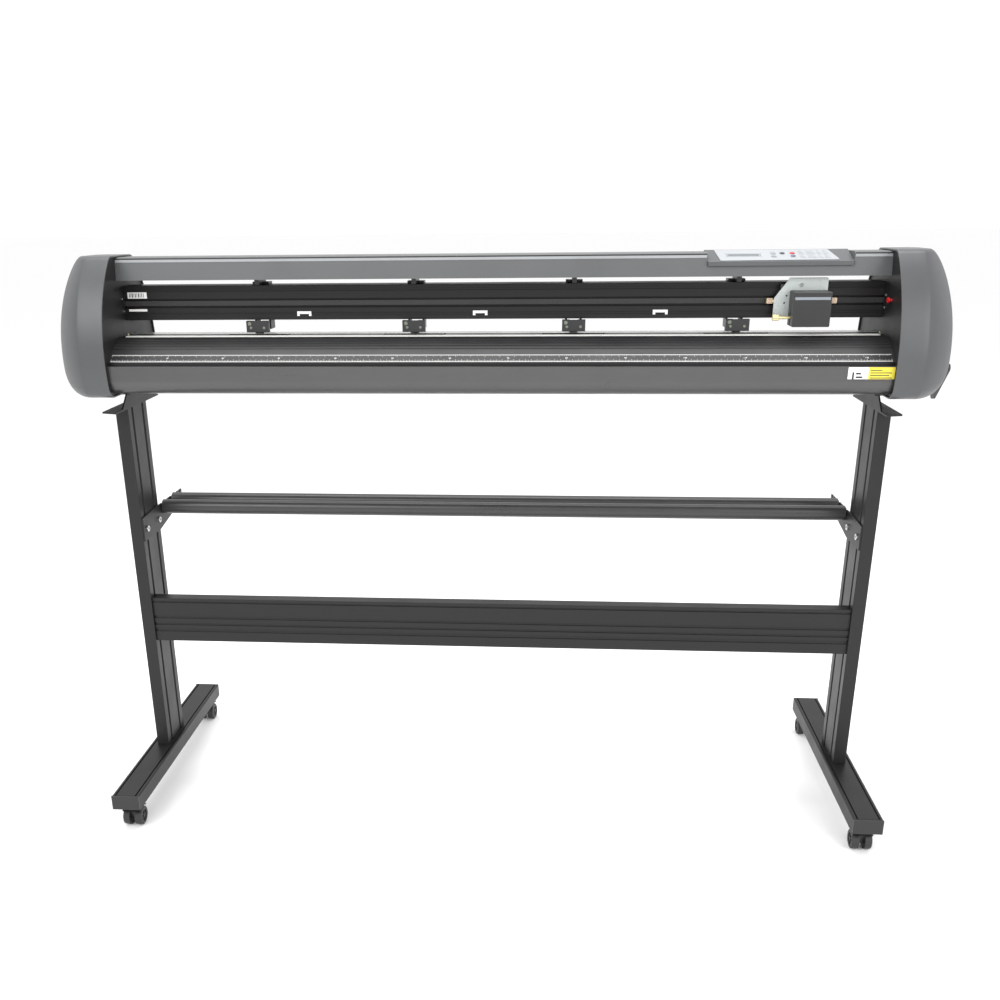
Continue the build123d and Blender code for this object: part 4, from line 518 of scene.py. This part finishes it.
# ------------------------------------------------------------------ panel print
LOW, HIGH = Vector((0, -30.2, 1025.0)), Vector((0, 26.0, 1042.4))
UP_PANEL = (HIGH - LOW).normalized()
OUT_PANEL = Vector((0, -UP_PANEL.z, UP_PANEL.y))
SLOPE = (HIGH - LOW).length
PRINT = (0.8, 0.86)           # printed marks, off the sloped face: on top of the membrane


def panel_box(shape, x, t, lift):
    """A box on the sloped panel: x limits, limits up the slope in mm, limits off the face."""
    verts = []
    for a in x:
        for b in t:
            for c in lift:
                p = LOW + UP_PANEL * b + OUT_PANEL * c
                verts.append((a, p.y, p.z))
    shape.add(verts, [(0, 1, 3, 2), (4, 6, 7, 5), (0, 4, 5, 1), (2, 3, 7, 6), (0, 2, 6, 4), (1, 5, 7, 3)])


window = (0.40 * SLOPE, 0.61 * SLOPE)
glass = Shape()
panel_box(glass, (401.4, 459.1), (window[0] + 0.4, window[1] - 0.4), (0.5, 1.0))
glass.done("display_glass", "overlay_silver", "frame", "glass_grey", bevel=0.2)
cells = Shape()
for row in range(2):
    for column in range(16):
        x = 404.5 + column * 3.25
        t = window[0] + 1.8 + row * 4.6
        panel_box(cells, (x, x + 2.5), (t, t + 3.6), (1.0, 1.03))
cells.done("display_cells", "overlay_silver", "frame", "cell_dark")
edging = Shape()
for x, t in (((386, 588), (4.2, 4.9)), ((386, 577), (SLOPE - 2.9, SLOPE - 2.3)),
             ((398, 462), (window[0] - 2.6, window[0] - 1.6)),
             ((398, 462), (window[1] + 1.6, window[1] + 2.6))):
    panel_box(edging, x, t, PRINT)
for k in range(6):
    for x, w in ((524, 10), (537, 15), (555, 7), (565, 9)):
        panel_box(edging, (x, x + w - (k % 3) * 1.5), (14 + k * 6.4, 16.6 + k * 6.4), PRINT)
for x in (481.0, 496.5, 513.5):
    panel_box(edging, (x - 5, x + 5), (0.62 * SLOPE + 6.2, 0.62 * SLOPE + 7.6), PRINT)
for x in (480.5, 513.0):
    panel_box(edging, (x - 5, x + 5), (0.40 * SLOPE - 7.6, 0.40 * SLOPE - 6.2), PRINT)
edging.done("panel_print", "overlay_silver", "frame", "print_grey")

keys = []
for number, (x, share, look) in enumerate(((481.0, 0.62, "key_pale"), (496.5, 0.62, "key_dark"),
                                           (513.5, 0.62, "key_red"), (480.5, 0.40, "key_pale"),
                                           (513.0, 0.40, "key_blue")), 1):
    top = Shape()
    foot = LOW + UP_PANEL * (share * SLOPE) + OUT_PANEL * 0.6
    top.turned([(4.2, 0.0), (4.2, 0.8), (3.7, 1.2), (2.2, 1.38), (0.4, 1.4)],
               (x, foot.y, foot.z), OUT_PANEL, count=36)
    keys.append(top.done(f"key_top_{number}", "key_grey", "keypad", look))
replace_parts(keys[0], "keypad")

# ------------------------------------------------------------------ cover edge: painted highlight and painted shade
# a pale strip along the cover's front top edge: a painted highlight where its rounded edge would catch the
# light
edge_highlight_strip = Shape()
for x in ((-674.0, 366.0), (613.0, 674.0)):
    edge_highlight_strip.box(x, (-24.6, -23.9), (1031.5, 1036.0))
edge_highlight_strip.done("cover_edge_highlight", "cover_grey", "frame", "edge_highlight_pale", bevel=0.25)
# a black strip just above it: painted shade where the cover's top is seen at a grazing angle
grazing_shade_line = Shape()
for x in ((-674.0, 366.0), (613.0, 674.0)):
    grazing_shade_line.box(x, (-24.1, -23.6), (1036.6, 1038.4))
grazing_shade_line.done("cover_painted_shade_line", "cover_grey", "frame", "print_black")

# ------------------------------------------------------------------ screws
def socket_screw(shape, origin, axis, radius, height):
    """A round head with a chamfered rim and a six-sided socket."""
    axis = Vector(axis)
    side = axis.orthogonal().normalized()
    other = axis.cross(side)
    count = 24
    rings = [(radius, 0.0), (radius, height * 0.8), (radius * 0.86, height)]
    verts = []
    for r, along in rings:
        for k in range(count):
            turn = 2 * pi * k / count
            verts.append(Vector(origin) + axis * along + side * (r * cos(turn)) + other * (r * sin(turn)))
    for r, along in ((radius * 0.5, height), (radius * 0.5, height * 0.35)):
        for k in range(count):
            turn = 2 * pi * k / count
            flat = cos(pi / 6) / cos((turn % (pi / 3)) - pi / 6)
            verts.append(Vector(origin) + axis * along + side * (r * flat * cos(turn))
                         + other * (r * flat * sin(turn)))
    faces = [list(range(count))[::-1]]
    for ring in range(4):
        a, b = ring * count, (ring + 1) * count
        faces += [(a + k, a + (k + 1) % count, b + (k + 1) % count, b + k) for k in range(count)]
    faces.append(list(range(4 * count, 5 * count)))
    shape.add(verts, faces)


screws = Shape()
for side in (-1, 1):
    for y in (-31.0, 34.0):
        socket_screw(screws, (side * 672.0, y, 542.0), (-side, 0, 0), 6.0, 4.0)
    for z in (332.0, 382.0):
        socket_screw(screws, (side * 699.0, -29.0, z), (side, 0, 0), 6.0, 4.0)
    for y, z in ((-10, 968), (-8, 947), (-30, 880)):
        socket_screw(screws, (side * 675.0, y, z), (-side, 0, 0), 3.0, 1.5)
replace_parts(screws.done("socket_screws", "bolt_steel", "frame"), "fasteners")

# ------------------------------------------------------------------ carriage detail
grille = Shape()
for k in range(7):
    r = 5.0 + 3.1 * k
    for turn in (15, 195):
        start, end = radians(turn - 6 * k / 3), radians(turn + 62 + 6 * k / 3)
        steps = 14
        loop = [(543.5 + (r + 0.9) * cos(start + (end - start) * s / steps), -52.0,
                 945.0 + (r + 0.9) * sin(start + (end - start) * s / steps)) for s in range(steps + 1)]
        loop += [(543.5 + r * cos(end - (end - start) * s / steps), -52.0,
                  945.0 + r * sin(end - (end - start) * s / steps)) for s in range(steps + 1)]
        grille.prism(loop, (0, -0.3, 0))
grille.done("cover_grille", "tool_black", "carriage", "print_black")
trim = Shape()
trim.box((514.0, 573.0), (-52.4, -51.9), (963.5, 968.0))
trim.done("cover_trim", "tool_black", "carriage", "print_grey", bevel=0.3)
recess = Shape()
recess.box((514.0, 573.0), (-52.25, -51.9), (968.6, 970.6))
recess.done("cover_recess", "tool_black", "carriage", "print_black")
heads = Shape()
socket_screw(heads, (530.5, -15.0, 986.0), (0, -1, 0), 3.0, 2.0)
heads.done("carriage_screws", "plate_silver", "carriage", bevel=0.1)
clamp_faces = Shape()
for x in (475.6, 584.1):
    clamp_faces.box((x, x + 9.8), (-8.4, -7.9), (954.6, 963.4))
    socket_screw(clamp_faces, (x + 4.9, -8.2, 959.0), (0, -1, 0), 3.0, 1.6)
clamp_faces.done("clamp_faces", "brass", "carriage", "clamp_copper", bevel=0.2)

knob = Shape()
KNOB_END = (482.0, -33.0, 933.0)
knob.turned([(4.2, 0.0), (5.0, 0.8), (5.0, 10.2), (4.2, 11.0)], KNOB_END, (1, 0, 0), count=40,
            teeth=1, tooth=0.45)
knob.turned([(2.5, 11.0), (2.5, 55.2)], KNOB_END, (1, 0, 0), count=24)
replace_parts(knob.done("clamp_knob_knurled", "brass", "clamp_knob"), "clamp_knob")

# ------------------------------------------------------------------ pinch unit detail
for number, x in enumerate((-427.5, -142.5, 142.5, 427.5), start=1):
    pins = Shape()
    for side in (-1, 1):
        pins.turned([(2.5, 0), (2.5, 1.0), (1.9, 1.4)], (x + side * 12, -13.5, 917.0), (0, -1, 0), count=20)
    pins.turned([(3.2, 0), (3.2, 1.0), (2.2, 1.3)], (x - 14, -13.5, 924.0), (0, -1, 0), count=24)
    pins.done(f"pinch_pins_{number}", "pinch_black", f"pinch_arm_{number}", "pinch_olive")

# ------------------------------------------------------------------ platen top
polish = Shape()
for y in ((-20.6, -13.2), (13.2, 45.5)):
    polish.box((-674.5, 674.5), y, (903.9, 904.05))
polish.done("platen_polish", "platen_grey", "frame", "platen_bright")

# ------------------------------------------------------------------ caster hubs
for number, (x, y) in enumerate(((-688.5, -230.5), (688.5, -230.5), (-688.5, 230.5), (688.5, 230.5)), 1):
    hub = Shape()
    for side in (-1, 1):
        for spoke in range(5):
            turn = 2 * pi * spoke / 5
            c, s = cos(turn), sin(turn)
            a = [(x + side * 16.6, y + 9 + 3.5 * c - 1.2 * s, 18 + 3.5 * s + 1.2 * c),
                 (x + side * 16.6, y + 9 + 10.6 * c - 0.9 * s, 18 + 10.6 * s + 0.9 * c),
                 (x + side * 16.6, y + 9 + 10.6 * c + 0.9 * s, 18 + 10.6 * s - 0.9 * c),
                 (x + side * 16.6, y + 9 + 3.5 * c + 1.2 * s, 18 + 3.5 * s - 1.2 * c)]
            hub.prism(a, (side * 1.2, 0, 0))
    hub.done(f"caster_spokes_{number}", "caster_tread", f"caster_wheels_{number}", bevel=0.2)

# ------------------------------------------------------------------ camera
yaw, pitch, roll = 0.0836, -0.3636, -0.0119
ahead = Vector((-sin(yaw), cos(yaw), 0))
right = Vector((cos(yaw), sin(yaw), 0))
up = Vector((0, 0, 1))
look = ahead * cos(pitch) + up * sin(pitch)
above = up * cos(pitch) - ahead * sin(pitch)
cam_right = right * cos(roll) + above * sin(roll)
cam_up = above * cos(roll) - right * sin(roll)
lens = bpy.data.cameras.new("camera")
lens.lens = 38.07
lens.sensor_width = 36.0
lens.shift_x = 0.0363
lens.shift_y = 0.1146
camera = bpy.data.objects.new("camera", lens)
bpy.context.scene.collection.objects.link(camera)
camera.matrix_world = Matrix((
    (cam_right.x, cam_up.x, -look.x, 0.1037),
    (cam_right.y, cam_up.y, -look.y, -1.9536),
    (cam_right.z, cam_up.z, -look.z, 1.1089),
    (0, 0, 0, 1)))
bpy.context.scene.camera = camera

# ------------------------------------------------------------------ stage and light
floor_mesh = bpy.data.meshes.new("floor")
floor_mesh.from_pydata([(-60, -60, 0), (60, -60, 0), (60, 60, 0), (-60, 60, 0)], [], [(0, 1, 2, 3)])
floor = bpy.data.objects.new("floor", floor_mesh)
bpy.context.scene.collection.objects.link(floor)
floor_mesh.materials.append(surface("floor_pale", (0.93, 0.93, 0.93), 0.9, grain=60, bump=0.0, vary=0.005,
                                    specular=0.1))


def soft_light(name, place, target, size, power):
    """A large square lamp aimed at a point."""
    lamp = bpy.data.lights.new(name, "AREA")
    lamp.shape = "RECTANGLE"
    lamp.size, lamp.size_y = size
    lamp.energy = power
    obj = bpy.data.objects.new(name, lamp)
    bpy.context.scene.collection.objects.link(obj)
    obj.location = place
    obj.rotation_euler = (Vector(target) - Vector(place)).to_track_quat("-Z", "Y").to_euler()


soft_light("key", (-1.8, -2.6, 2.9), (0, 0, 0.8), (2.4, 1.6), 66)
soft_light("fill", (2.4, -2.4, 2.0), (0, 0, 0.7), (2.0, 2.0), 48)
soft_light("top", (0.0, 0.4, 3.4), (0, 0, 0.8), (3.2, 1.4), 75)
soft_light("low", (0.0, -3.0, 0.5), (0, 0, 0.5), (3.0, 0.8), 5)
world = bpy.data.worlds.new("world")
bpy.context.scene.world = world
world.use_nodes = True
world.node_tree.nodes["Background"].inputs["Color"].default_value = (1, 1, 1, 1)
world.node_tree.nodes["Background"].inputs["Strength"].default_value = 1.06
bpy.context.scene.view_settings.view_transform = "Standard"
